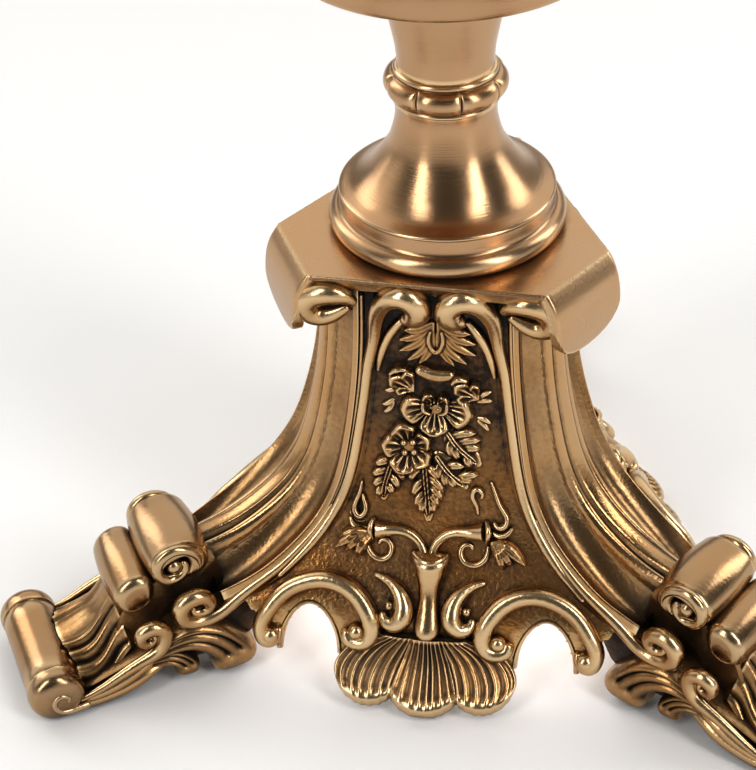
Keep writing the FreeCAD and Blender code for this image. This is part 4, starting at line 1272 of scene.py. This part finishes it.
class Relief:
    """Height map of cast ornament over a part of the face.

    Attributes:
        step: Distance between the points of the map.
        sink: Depth of the casting's back below the face.
    """

    step: float = 0.2
    sink: float = 0.8

    def __init__(self, x: tuple, z: tuple) -> None:
        """Starts a bare map over x and z."""
        self.x, self.z = np.meshgrid(np.arange(*x, self.step), np.arange(*z, self.step))
        self.high = np.full(self.x.shape, -1.0)

    def near(self, line: Array, margin: float) -> tuple[slice, slice]:
        """Rows and columns of the map around a line."""
        start = np.array((self.x[0, 0], self.z[0, 0]))
        low = ((line.min(0) - margin - start) / self.step).astype(int)
        high = ((line.max(0) + margin - start) / self.step).astype(int) + 2
        columns, rows = (slice(max(a, 0), max(b, 0)) for a, b in zip(low, high))
        return rows, columns

    def raise_to(self, top: Array, inside: Array, at: tuple = (slice(None), slice(None))) -> None:
        """Raises the map to a height where it is lower, inside an outline."""
        self.high[at] = np.maximum(self.high[at], np.where(inside, top, -1))

    def bead(self, points: Points, half: Sequence[float], high: Sequence[float], groove: float = 0.0) -> None:
        """Raises a bead: height * sqrt(1 - (distance / half width)^2.6), with a groove down its middle."""
        line = flow(points, 70) if len(points) > 2 else even(np.asarray(points, float), 70)
        w, h = along(half, 70), along(high, 70)
        at = self.near(line, w.max())
        gap = np.hypot(self.x[at][..., None] - line[:, 0], self.z[at][..., None] - line[:, 1])
        k = np.argmin(gap / w, -1)
        q = np.take_along_axis(gap, k[..., None], -1)[..., 0] / w[k]
        top = h[k] * (quarter(q, 2.6) - groove * np.exp(-((q / 0.34) ** 2)))
        self.raise_to(np.maximum(top, 0.08), q < 1, at)

    def finger(self, root: Sequence[float], tip: Sequence[float], half: float, high: float, bend: float,
               groove: float = 0.1) -> None:
        """Raises one finger of a leaf: a drop shape that is widest past its middle."""
        a, b = np.asarray(root, float), np.asarray(tip, float)
        side = np.array((a[1] - b[1], b[0] - a[0])) * bend
        self.bead([a, (a + b) / 2 + side, b], np.array([0.6, 0.9, 1.05, 1.0, 0.75, 0.18]) * half,
                  np.array([0.6, 0.8, 1.0, 1.05, 0.95, 0.6]) * high, groove)

    def leaf(self, rib: Points, tips: Points, half: float, high: float) -> None:
        """Raises an acanthus leaf: fingers from its middle rib to each tip, then the rib itself."""
        line = flow(rib, 40)
        self.bead(rib, np.array([1.2, 2.0, 2.2, 2.0, 1.6, 0.8]) * half, np.full(6, 0.5) * high)
        for x, z in tips:
            gap = np.hypot(line[:, 0] - x, line[:, 1] - z)
            root = line[max(int(np.argmin(gap)) - 11, 0)]
            turn = np.cross(line[-1] - line[0], np.array((x, z)) - root)
            self.finger(root, (x, z), half, high, 0.12 * np.sign(turn))
        self.bead(rib, [0.9, 1.0, 1.0, 0.9, 1.2, 0.3],
                  np.array([0.9, 1.1, 1.2, 1.15, 1.05, 0.7]) * high, 0.35)

    def petal(self, centre: Sequence[float], angle: float, length: float, spread: float, high: float,
              ribs: int) -> None:
        """Raises one petal: a ribbed fan about the flower's heart that dishes up to a rounded lip."""
        dx, dz = self.x - centre[0], self.z - centre[1]
        rho = np.hypot(dx, dz)
        turn = (np.degrees(np.arctan2(dz, dx)) - angle + 180) % 360 - 180
        a = turn / spread
        reach = length * (1 - 0.22 * np.abs(a) ** 3) * (1 + 0.03 * np.cos(2 * math.pi * a))
        u = rho / reach
        dish = 0.42 + 0.58 * held((u - 0.15) / 0.68) ** 1.4
        lip = quarter(held((u - 0.82) / 0.18))
        grooves = 0.5 - 0.5 * np.cos(math.pi * ribs * (a + 1))
        cut = 0.26 * grooves * held((0.8 - u) / 0.2) * held((u - 0.2) / 0.2)
        top = high * (dish - cut) * lip * quarter(np.abs(a), 6)
        self.raise_to(np.maximum(top, 0.1), (np.abs(a) < 1) & (u < 1))

    def dome(self, x: float, z: float, radius: float, high: float) -> None:
        """Raises a round knob."""
        q = np.hypot(self.x - x, self.z - z) / radius
        self.raise_to(high * quarter(q) ** 0.8, q < 1)

    def skin(self, face: Face) -> Skin:
        """Closed casting: the raised part of the map over a back that is sunk into the panel."""
        raised = self.high > 0.05
        cells = raised[:-1, :-1] | raised[1:, :-1] | raised[:-1, 1:] | raised[1:, 1:]
        front = face.place(self.x, self.z, np.where(raised, self.high, -0.4))
        back = face.place(self.x, self.z, np.full(self.x.shape, -self.sink))
        return shell_of(front, back, cells)


@dataclass
class SidePanel:
    """Cast side panel: ground with its frame, head scrolls, palmette, stems, vase and apron scrolls."""

    face: Face
    thick: float = 3.5
    low: float = 11.0
    top: float = 122.0
    arch_x: float = 34.5
    arch_a: float = 9.0
    arch_top: float = 26.0

    def ground(self) -> Skin:
        """Ground plate: a grid from edge to edge, sunk along each edge into a groove.

        The height depends on the distance from the edge alone: a groove beside the leg, then the
        flat with a slight rise to its middle. The cells inside the two apron arches and below
        their outer ends are left out.
        """
        z = np.linspace(self.top, self.low, 156)[:, None]
        half = self.face.half_width(z)
        inset = np.r_[np.linspace(-2.4, 5.2, 34), 6.0, 7.0]
        mid = np.linspace(-1, 1, 55)
        x = np.hstack([-(half - inset), mid * (half - 8.0), (half - inset)[:, ::-1]])
        away = half - np.abs(x)
        frame = np.interp(away, [-2.4, 0.0, 0.5, 1.0, 3.6, 4.8, 12.0], [-0.5, -0.5, -0.4, 0.2, 0.7, 0.0, 0.3])
        front = self.face.place(x, z, frame)
        back = self.face.place(x, z, np.full(x.shape, -self.thick))
        cx = (x[:-1, :-1] + x[1:, 1:]) / 2
        cz = (z[:-1] + z[1:]) / 2 + 0 * cx
        rise = (cz - self.low) / (self.arch_top - self.low)
        hole = ((np.abs(cx) - self.arch_x) / self.arch_a) ** 2 + rise ** 2
        keep = (hole > 1.0) & (cz > self.low + 0.5 + np.maximum(np.abs(cx) - 40.0, 0) * 0.95)
        return shell_of(front, back, keep)

    def frame(self) -> Skin:
        """Frame bead of the left edge, which swells at the head into a fat C-scroll under the plate."""
        rows = ((31.0, 3.4, 0.9), (38.0, 2.6, 1.5), (46.0, 2.1, 1.7), (56.0, 1.9, 1.7), (66.0, 1.8, 1.7),
                (76.0, 1.8, 1.65), (86.0, 2.0, 1.65), (95.0, 2.4, 1.7))
        low = [(inset - self.face.half_width(z), z, radius, 0.4) for z, inset, radius in rows]
        head = [(-17.3, 103.4, 1.8, 1.0), (-16.4, 110.2, 2.2, 2.2), (-14.6, 116.6, 2.7, 4.2),
                (-11.4, 121.0, 3.2, 6.0), (-7.8, 122.2, 3.5, 6.9), (-4.8, 120.4, 3.7, 6.9),
                (-4.2, 116.9, 3.9, 6.0), (-6.3, 114.6, 3.3, 5.0), (-8.6, 114.9, 2.2, 4.2)]
        return self.face.bead(low + head, count=190)

    def fillet(self) -> Skin:
        """Thin bead of the left edge, between the leg and the frame."""
        heights = (118.0, 108.0, 97.0, 86.0, 75.0, 64.0, 54.0, 46.0, 40.0)
        return self.face.bead([(0.1 - self.face.half_width(z), z, 0.8, 0.1) for z in heights], count=150)

    def head_scrolls(self) -> list[Skin]:
        """Inner beads of the C-scrolls and the rolled scrolls beside them at the heads of the legs."""
        bead = self.face.bead
        parts = [
            self.frame(),
            self.fillet(),
            bead([(-16.4, 92.5, 0.5), (-15.6, 97.0, 1.1), (-13.9, 102.8, 1.4), (-11.6, 107.4, 1.45),
                  (-8.4, 111.6, 1.0)], lift=0.4, flat=1.3),
            bead([(-14.4, 98.6, 0.3), (-13.2, 102.2, 0.5), (-11.4, 105.6, 0.5), (-9.2, 108.6, 0.35)],
                 lift=0.3, flat=1.3, count=50),
        ]
        right = [part.mirrored(0) for part in parts + self.claw(0.8)]
        return parts + self.claw(-1.8) + right

    def claw(self, shift: float) -> list[Skin]:
        """Rolled scroll at the head of a leg: a fat C that opens to the panel, and the body behind it."""
        roll = np.array([(-19.4, 117.8, 1.1, 5.2), (-22.2, 120.6, 2.3, 6.0), (-26.0, 121.6, 3.1, 6.4),
                         (-30.2, 120.6, 3.6, 5.8), (-32.8, 117.6, 3.8, 5.0), (-32.4, 114.4, 3.6, 4.6),
                         (-29.6, 112.7, 3.1, 4.2), (-26.4, 113.3, 2.6, 4.2), (-23.4, 115.1, 1.9, 4.4),
                         (-21.2, 116.6, 1.1, 4.6)])
        body = np.array([(-19.4, 116.4, 3.4, -0.2), (-26.0, 116.6, 4.2, -0.4), (-32.0, 116.0, 3.8, -1.4)])
        return [self.face.bead(line + (shift, 0, 0, 0), count=count, blunt=blunt)
                for line, count, blunt in ((roll, 120, 0.8), (body, 40, 2.5))]

    def palmette(self) -> Skin:
        """Palmette: a looped middle leaf and fingers that fan out to both sides."""
        r = Relief((-14.0, 14.0), (94.5, 112.0))
        fans = [(-8.6, 107.2, 0.06), (-10.0, 104.0, 0.1), (-10.0, 100.4, 0.12), (-7.8, 97.4, 0.14),
                (-4.6, 96.6, 0.12), (-2.3, 98.6, 0.08)]
        for x, z, bend in fans:
            for side in (-1, 1):
                root = (side * -1.0, 109.8) if x < -6 else (side * -1.4, 108.6)
                r.finger(root, (side * x * (1.0 if side > 0 else 1.1), z), 1.75, 2.3, side * bend, 0.12)
        r.bead([(-1.4, 107.5), (-1.7, 104.0), (0.2, 101.4), (2.0, 104.0), (1.7, 107.5)],
               [0.7, 1.0, 1.1, 1.0, 0.7], [2.2, 2.9, 3.1, 2.9, 2.2])
        return r.skin(self.face)

    def stems(self) -> list[Skin]:
        """Trumpet stems, spirals, hooks, loops and leaf tufts between the spray and the apron."""
        bead = self.face.bead
        left = [
            bead([(-1.8, 38.6, 1.2), (-2.9, 41.4, 1.3), (-5.6, 44.0, 1.45), (-9.2, 45.2, 1.65),
                  (-13.0, 45.2, 2.0), (-16.9, 45.0, 3.0)], lift=0.45, flat=1.1, count=70, blunt=0.3),
            bead([(-18.4, 43.6, 0.6), (-18.7, 40.8, 0.9), (-17.0, 38.3, 1.05), (-14.4, 37.5, 1.05),
                  (-12.1, 38.8, 1.0), (-11.7, 41.0, 0.95), (-13.2, 42.4, 0.85), (-15.0, 42.1, 0.75),
                  (-15.5, 40.9, 0.6)], lift=0.5, flat=1.3),
            bead([(-20.9, 58.6, 0.4), (-21.4, 55.4, 0.7), (-22.5, 52.4, 0.85), (-22.8, 49.8, 0.95),
                  (-21.3, 48.3, 1.0), (-19.7, 49.8, 0.9), (-20.1, 52.6, 0.75),
                  (-20.8, 54.8, 0.45)], lift=0.9, flat=1.6),
            bead([(-24.2, 48.2, 0.6), (-23.2, 46.2, 1.0), (-21.0, 45.1, 1.1), (-18.6, 45.6, 0.7)],
                 lift=0.9, flat=1.5, count=50),
            bead([(-17.0, 48.2, 0.6, 0.8), (-18.0, 45.2, 0.9, 2.6), (-17.0, 42.2, 0.6, 0.8)], count=40),
            bead([(-24.2, 49.6, 0.3), (-23.4, 47.6, 0.5), (-21.2, 46.7, 0.55), (-19.6, 47.0, 0.4)],
                 lift=0.4, flat=1.2, count=50),
        ]
        right = [
            bead([(0.2, 38.8, 1.2), (0.8, 41.8, 1.3), (3.2, 44.4, 1.45), (6.6, 45.8, 1.65),
                  (10.6, 46.0, 2.0), (15.0, 46.4, 3.1)], lift=0.45, flat=1.1, count=70, blunt=0.3),
            bead([(16.2, 43.2, 0.6), (16.0, 40.4, 0.9), (14.2, 38.3, 1.05), (11.4, 37.8, 1.05),
                  (9.0, 39.0, 1.0), (8.4, 41.1, 0.95), (9.6, 42.7, 0.85), (11.4, 42.5, 0.75),
                  (11.8, 41.3, 0.6)], lift=0.5, flat=1.3),
            bead([(16.0, 61.0, 0.4), (17.6, 57.4, 0.7), (19.6, 53.2, 0.85), (21.2, 50.4, 0.95),
                  (20.2, 48.2, 1.05), (18.1, 48.5, 0.9), (17.5, 49.8, 0.6)], lift=0.9, flat=1.6),
            bead([(12.8, 50.6, 0.45), (12.1, 53.8, 0.75), (11.0, 56.5, 0.9), (12.1, 58.3, 0.9),
                  (13.8, 57.0, 0.75), (13.4, 55.2, 0.55)], lift=0.6, flat=1.4),
            bead([(15.2, 49.6, 0.6, 0.8), (16.2, 46.5, 0.9, 2.6), (15.2, 43.4, 0.6, 0.8)], count=40),
            bead([(17.0, 46.9, 0.7), (19.0, 45.8, 1.0), (21.4, 46.4, 1.0), (23.0, 48.4, 0.6)],
                 lift=0.9, flat=1.5, count=50),
        ]
        r = Relief((-30.0, 30.0), (35.5, 50.0))
        for side, tips in ((-1, [(-26.8, 42.4), (-24.6, 39.2), (-21.4, 38.0), (-27.8, 39.8)]),
                           (1, [(25.4, 40.6), (23.0, 38.6), (20.6, 37.6), (27.0, 39.0)])):
            for tip in tips:
                r.finger((side * 17.6, 43.8), tip, 1.9, 4.2, 0.1 * side, 0.06)
        return left + right + [r.skin(self.face)]

    def vase(self) -> list[Skin]:
        """Baluster vase turned about an axis on the panel, with a small C-scroll on each side."""
        z, radius = flow([(40.3, 5.2), (39.6, 5.5), (38.2, 5.2), (36.0, 4.5), (33.6, 3.7), (31.4, 3.1),
                          (29.2, 2.95), (26.8, 3.2), (24.4, 3.7), (22.2, 4.0), (20.6, 3.4), (19.8, 1.8),
                          (19.5, 0.1)], 70).T
        axis = self.face.place(0 * z, z, 1.2)
        body = axis[:, None] + about_axis(radius[:, None], 0 * z[:, None], turns(40)) * (1, 1.05, 1)
        rim = self.face.bead([(-5.2, 40.4, 0.6, 3.2), (-2.8, 38.9, 0.8, 5.4), (0.0, 38.1, 0.9, 6.2),
                              (2.8, 38.9, 0.8, 5.4), (5.2, 40.4, 0.6, 3.2)], count=50)
        cup = sheet(body, ends=True)
        scroll = self.face.bead([(-16.4, 33.8, 0.8), (-12.4, 32.6, 1.6), (-8.8, 30.2, 2.5),
                                 (-7.0, 27.0, 3.0), (-7.4, 24.0, 3.1), (-9.8, 22.5, 2.7), (-12.4, 23.4, 1.9),
                                 (-13.2, 25.4, 1.2)], lift=0.6, flat=1.2, count=90)
        return [cup, rim] + both([scroll, self.face.knob(-11.2, 26.7, 1.2, 1.45)], 0)

    def apron(self) -> list[Skin]:
        """C-scrolls over the apron arches: a fat bead with a ball in each end and a broad inner band."""
        bead = self.face.bead
        fat = bead([(-43.8, 18.6, 1.2), (-44.2, 15.4, 1.8), (-46.8, 14.2, 2.4), (-48.7, 17.4, 2.6),
                    (-47.2, 22.6, 2.6), (-43.2, 27.2, 2.6), (-37.4, 30.3, 2.75), (-30.6, 31.6, 2.9),
                    (-23.9, 30.2, 3.0), (-19.0, 26.8, 3.0), (-16.3, 22.4, 2.9), (-16.4, 18.0, 2.8),
                    (-19.4, 15.8, 2.6), (-22.8, 16.8, 2.2),
                    (-23.6, 19.8, 1.6)], lift=0.45, flat=1.15, count=170)
        a = np.radians(np.linspace(2, 178, 25))
        arch = np.stack([self.arch_a * np.cos(a) - self.arch_x,
                         self.low + (self.arch_top - self.low) * np.sin(a)], 1)
        inside = bead(np.hstack([arch, np.full((25, 1), 0.9), np.full((25, 1), -1.2)]), flat=2.4, count=90)
        knobs = [self.face.knob(-45.9, 15.8, 1.2, 3.0), self.face.knob(-20.6, 19.2, 1.4, 2.5)]
        return both([fat, inside] + knobs, 0)

    def build(self, shop: Workshop) -> None:
        """Makes the three panels, each as a ground plate and the ornament cast on it."""
        ground = self.ground()
        ornament = join(self.head_scrolls() + [self.palmette()] + self.stems() + self.vase() + self.apron())
        for i, angle in enumerate(FACE_ANGLES):
            shop.piece(f"panel_{i + 1}_ground", ground.turned(angle), "ground", f"side_panel_{i + 1}")
            shop.piece(f"panel_{i + 1}_ornament", ornament.turned(angle), "cast", f"side_panel_{i + 1}")


@dataclass
class FlowerSpray:
    """Applied spray: ribbon bar, buds, two flowers and acanthus leaves."""

    face: Face
    # Middle rib, tips, half width and height of each leaf.
    leaves: tuple = (
        (((3.6, 75.0), (5.6, 72.4), (8.8, 69.2), (12.4, 65.9)),
         ((11.4, 75.4), (12.8, 73.4), (12.8, 70.8), (10.6, 65.6), (6.9, 67.4), (4.8, 68.0)), 1.6, 2.6),
        (((0.6, 67.4), (3.2, 64.2), (6.0, 61.4), (8.9, 58.8)),
         ((12.4, 62.6), (8.4, 65.0), (10.8, 60.6), (6.2, 58.8), (3.6, 58.8), (1.4, 60.6)), 1.55, 2.5),
        (((-12.2, 65.2), (-13.4, 61.0), (-14.3, 57.4), (-14.5, 53.9)),
         ((-17.2, 63.6), (-18.0, 60.4), (-17.5, 57.2), (-16.2, 54.4), (-12.0, 55.4), (-10.2, 57.2),
          (-8.8, 59.6)),
         1.45, 2.5),
        (((-3.0, 65.4), (-2.4, 60.0), (-1.8, 55.0), (-1.4, 48.9)),
         ((-7.0, 59.6), (-6.0, 55.2), (-5.0, 52.2), (-3.3, 50.6), (2.8, 57.0), (2.4, 54.6), (1.2, 52.6),
          (0.0, 50.8), (1.4, 60.4)), 1.55, 2.7),
    )
    # Root and tip of each loose finger.
    fingers: tuple = (
        ((-12.0, 84.0), (-15.4, 82.4)), ((-12.0, 83.0), (-15.0, 79.8)), ((-11.0, 88.0), (-14.6, 87.0)),
        ((12.0, 86.0), (15.6, 88.6)), ((12.0, 85.0), (16.0, 85.6)), ((12.0, 80.0), (15.8, 78.4)),
        ((12.0, 79.0), (15.2, 76.0)),
    )
    # Heart of each bud and flower, with each petal's angle, length, spread, height and ribs.
    blossoms: tuple = (
        ((-6.0, 87.2), ((142, 9.0, 24, 3.6, 2), (108, 8.0, 22, 3.2, 1), (172, 5.6, 22, 2.8, 1))),
        ((12.2, 86.0), ((142, 9.0, 24, 3.6, 2), (108, 6.0, 22, 2.9, 1), (176, 6.6, 22, 3.0, 1))),
        ((-0.1, 83.2), ((192, 10.2, 36, 3.3, 4), (-14, 11.0, 36, 3.4, 5), (-92, 9.6, 38, 3.5, 4),
                        (126, 5.2, 32, 3.0, 2), (44, 5.0, 30, 3.0, 2))),
        ((-7.4, 69.7), ((178, 8.2, 38, 2.9, 3), (250, 8.8, 38, 3.4, 3), (318, 7.8, 36, 3.2, 2),
                        (30, 7.0, 38, 3.0, 2), (110, 8.2, 40, 3.2, 3))),
    )
    # Line, half widths and heights of each bead: the buds' tips, the ribbon, the upper flower's hooks.
    beads: tuple = (
        (((-12.6, 93.4), (-10.6, 95.0), (-8.4, 95.0)), (0.8, 1.2, 0.8), (3.2, 3.8, 3.2)),
        (((4.8, 91.6), (6.4, 93.2), (8.6, 92.8)), (0.9, 1.3, 0.9), (3.4, 4.0, 3.4)),
        (((-4.2, 94.6), (-1.8, 93.9), (1.2, 93.4), (4.0, 93.6)), (1.9, 2.3, 2.3, 1.8), (2.9, 3.4, 3.4, 2.9)),
        (((-3.6, 84.0), (-3.2, 81.8), (-1.6, 80.9)), (0.7, 0.9, 0.6), (2.4, 2.9, 2.4)),
        (((3.2, 84.0), (2.8, 81.6), (1.2, 80.9)), (0.7, 0.9, 0.6), (2.4, 2.9, 2.4)),
    )
    # Place, radius and height of the knobs in the lower flower's heart.
    knobs: tuple = (
        (-8.9, 71.3, 1.3, 2.9), (-6.3, 71.6, 1.35, 2.9), (-8.6, 68.3, 1.3, 2.9), (-5.9, 68.6, 1.35, 2.9),
    )

    def skin(self) -> Skin:
        """The spray as one height map, with a ring of small knobs in the upper flower's heart."""
        r = Relief((-19.5, 17.5), (47.5, 97.0))
        for leaf in self.leaves:
            r.leaf(*leaf)
        for root, tip in self.fingers:
            r.finger(root, tip, 0.9, 1.2, 0.1)
        for heart, petals in self.blossoms:
            for petal in petals:
                r.petal(heart, *petal)
        for bead in self.beads:
            r.bead(*bead)
        for knob in self.knobs:
            r.dome(*knob)
        for turn in 0.9 * np.arange(7):
            r.dome(-0.1 + 1.3 * math.cos(turn), 83.5 + 1.2 * math.sin(turn), 0.55, 2.3)
        return r.skin(self.face)

    def build(self, shop: Workshop) -> None:
        """Makes the three sprays."""
        skin = self.skin()
        for i, angle in enumerate(FACE_ANGLES):
            shop.piece(f"spray_{i + 1}_cast", skin.turned(angle), "cast", f"flower_spray_{i + 1}", sharp=70.0)


@dataclass
class Shell:
    """Applied three-lobed shell with fanning ribs and a rounded lip."""

    face: Face

    def lobe(self, left: Points, right: Points, bulge: float, ribs: int, lift: float, seed: int) -> Skin:
        """One lobe between two edge lines.

        Points are a blend from the left edge to the right edge, drawn out downwards in the middle;
        the height is a dish that rises to a rounded, scalloped lip, with narrow uneven ridges.

        Args:
            left: Points of the left edge, from root to tip.
            right: Points of the right edge.
            bulge: How far the middle of the lip is drawn out.
            ribs: Number of flutes between the ridges.
            lift: Height of the edges.
            seed: Seed of the flutes' widths.

        Returns:
            The closed skin.
        """
        u = np.linspace(0, 1, 100)[None]
        v = np.linspace(0, 1, 52)[:, None]
        a, b = flow(left, 52), flow(right, 52)
        x, z = (a[:, k:k + 1] * (1 - u) + b[:, k:k + 1] * u for k in range(2))
        mid = 4 * u * (1 - u)
        wave = (0.5 + 0.5 * np.cos(2 * math.pi * uneven(u, ribs, spread=0.35, seed=seed))) ** 1.3
        z = np.maximum(z - (bulge * mid ** 0.75 + 0.14 * wave) * v ** 2.2, 0.9)
        fade = held(v / 0.1) * held((0.96 - v) / 0.1)
        dish = 0.5 * np.cos(2 * math.pi * held(v / 0.92)) + 0.5
        end = quarter(held((v - 0.93) / 0.07))
        edge = held(np.minimum(u, 1 - u) / 0.07) ** 0.5
        high = lift + 1.1 * mid ** 0.5 + 0.9 * dish - 0.58 * (1 - wave) * fade
        high = high * (0.4 + 0.6 * end) * (0.7 + 0.3 * edge)
        return shell_of(self.face.place(x, z, high), self.face.place(x, z, np.full(x.shape, -0.2)))

    def build(self, shop: Workshop) -> None:
        """Makes the three shells."""
        middle = self.lobe([(-4.6, 19.6), (-6.2, 14.0), (-8.2, 9.0), (-10.2, 4.4)],
                           [(4.6, 19.6), (6.2, 14.0), (8.2, 9.0), (10.4, 4.4)],
                           bulge=3.6, ribs=8, lift=2.6, seed=5)
        side = self.lobe([(-12.0, 19.8), (-18.8, 17.4), (-24.6, 13.0), (-26.6, 8.4), (-24.8, 5.2)],
                         [(-3.4, 19.4), (-4.8, 13.6), (-6.6, 9.2), (-8.4, 4.8)],
                         bulge=2.8, ribs=7, lift=1.9, seed=8)
        skin = join([middle] + both([side], 0))
        for i, angle in enumerate(FACE_ANGLES):
            shop.piece(f"shell_{i + 1}_cast", skin.turned(angle), "cast", f"shell_{i + 1}", sharp=60.0)


def placed(x: Array, y: Array, z: Array, at: Sequence[float]) -> Matrix:
    """Matrix with three axes and a place as its columns."""
    matrix = np.eye(4)
    matrix[:3] = np.stack([x, y, z, at], 1)
    return Matrix(matrix.tolist())


@dataclass
class Studio:
    """Pale floor, soft lights and the camera, in metres."""

    eye: tuple = (0.06277, -0.46835, 0.42937)
    azimuth: float = math.radians(10.215)
    pitch: float = math.radians(37.376)
    roll: float = math.radians(-2.294)
    lens: float = 93.69
    # Name, place, size, power and aim of each light.
    lights: tuple = (
        ("key_left", (-0.78, -1.03, 1.1), (0.42, 1.5), 7.5, (0, 0, 0.1)),
        ("key_right", (1.1, -0.68, 1.1), (0.42, 1.5), 9.0, (0, 0, 0.1)),
        ("back_left", (-1.2, 0.6, 0.8), (0.5, 1.0), 2.5, (0, 0, 0.1)),
        ("back_right", (1.2, 0.6, 0.8), (0.5, 1.0), 4.0, (0, 0, 0.1)),
        ("under_base", (0.001, 0.0, 0.03), (0.09, 0.09), 0.05, (0, 0, 0)),
    )

    def floor(self) -> None:
        """Wide pale floor, a grid that curves up far from the object."""
        count, half, flat = 31, 9.0, 5.0
        side = np.linspace(-half, half, count)
        x, y = np.meshgrid(side, side)
        z = 0.12 * np.maximum(np.hypot(x, y) - flat, 0) ** 2 - 0.0002
        mesh = bpy.data.meshes.new("studio_floor")
        index = np.arange(count * count).reshape(count, count)
        quads = np.stack([index[:-1, :-1], index[:-1, 1:], index[1:, 1:], index[1:, :-1]], -1).reshape(-1, 4)
        mesh.from_pydata(np.stack([x, y, z], -1).reshape(-1, 3).tolist(), [], quads.tolist())
        mesh.shade_smooth()
        g = Paint("pale_floor")
        pale = g.blend(g.noise(3.0, 2.0), (0.965, 0.965, 0.965, 1), (0.98, 0.98, 0.98, 1))
        g.fill(g.shader, {"Base Color": pale, "Roughness": 0.9})
        mesh.materials.append(g.material)
        link("studio_floor", mesh)

    @staticmethod
    def light(name: str, at: tuple, size: tuple, power: float, aim: tuple) -> None:
        """Soft rectangular light at a place, turned to a point."""
        data = bpy.data.lights.new(name, "AREA")
        data.shape = "RECTANGLE"
        data.size, data.size_y = size
        data.energy = power
        z = unit(np.subtract(at, aim))
        x = unit(np.cross((0, 0, 1), z))
        link(name, data).matrix_world = placed(x, np.cross(z, x), z, at)

    def camera(self) -> None:
        """Camera at the photograph's place, with its heading, tilt and roll."""
        flat = math.cos(self.pitch)
        ahead = np.array((-math.sin(self.azimuth) * flat, math.cos(self.azimuth) * flat,
                          -math.sin(self.pitch)))
        right = unit(np.cross(ahead, (0, 0, 1)))
        up = np.cross(right, ahead)
        c, s = math.cos(self.roll), math.sin(self.roll)
        data = bpy.data.cameras.new("camera")
        data.sensor_width = 36.0
        data.lens = self.lens
        data.clip_start = 0.01
        obj = link("camera", data)
        obj.matrix_world = placed(c * right + s * up, c * up - s * right, -ahead, self.eye)
        bpy.context.scene.camera = obj

    def surroundings(self) -> None:
        """White room behind the object and to its left that is dark on the camera's side."""
        world = bpy.data.worlds.new("studio")
        world.use_nodes = True
        g = Graph(world.node_tree)
        x, y, z = g.axes("Generated")
        behind = g.span(g.math("MULTIPLY_ADD", x, -0.35, y), -0.15, 0.45, 0.1, 1.0, "SMOOTHSTEP")
        above = g.span(z, 0.06, 0.32, 0.3, 1.0, "SMOOTHSTEP")
        g.fill(g.tree.nodes["Background"], {
            "Color": (1.0, 0.98, 0.95, 1), "Strength": g.math("MULTIPLY", behind, above),
        })
        bpy.context.scene.world = world

    def build(self) -> None:
        """Sets up floor, lights, surroundings and camera."""
        self.floor()
        for light in self.lights:
            self.light(*light)
        self.surroundings()
        view = bpy.context.scene.view_settings
        view.view_transform = "Standard"
        view.exposure = 0.3
        view.gamma = 0.82
        self.camera()


def main() -> None:
    """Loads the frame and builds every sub-assembly in order."""
    logging.basicConfig(level=logging.INFO, format="%(name)s: %(message)s")
    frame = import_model()
    Studio().build()
    shop = Workshop(frame["nodes"])
    Stem().build(shop)
    Top().build(shop)
    CapPlate().build(shop)
    leg = Leg()
    leg.build(shop)
    face = Face(leg)
    SidePanel(face).build(shop)
    FlowerSpray(face).build(shop)
    Shell(face).build(shop)
    for node in ("tie_rod", "rod_washer", "rod_nut", "panel_screws", "toe_pins"):
        shop.repaint(node, "steel")
    shop.repaint("clamp_spider", "iron")
    for node in ("shell_rivets", "spray_pins"):
        shop.repaint(node, "cast")


if __name__ == "__main__":
    main()
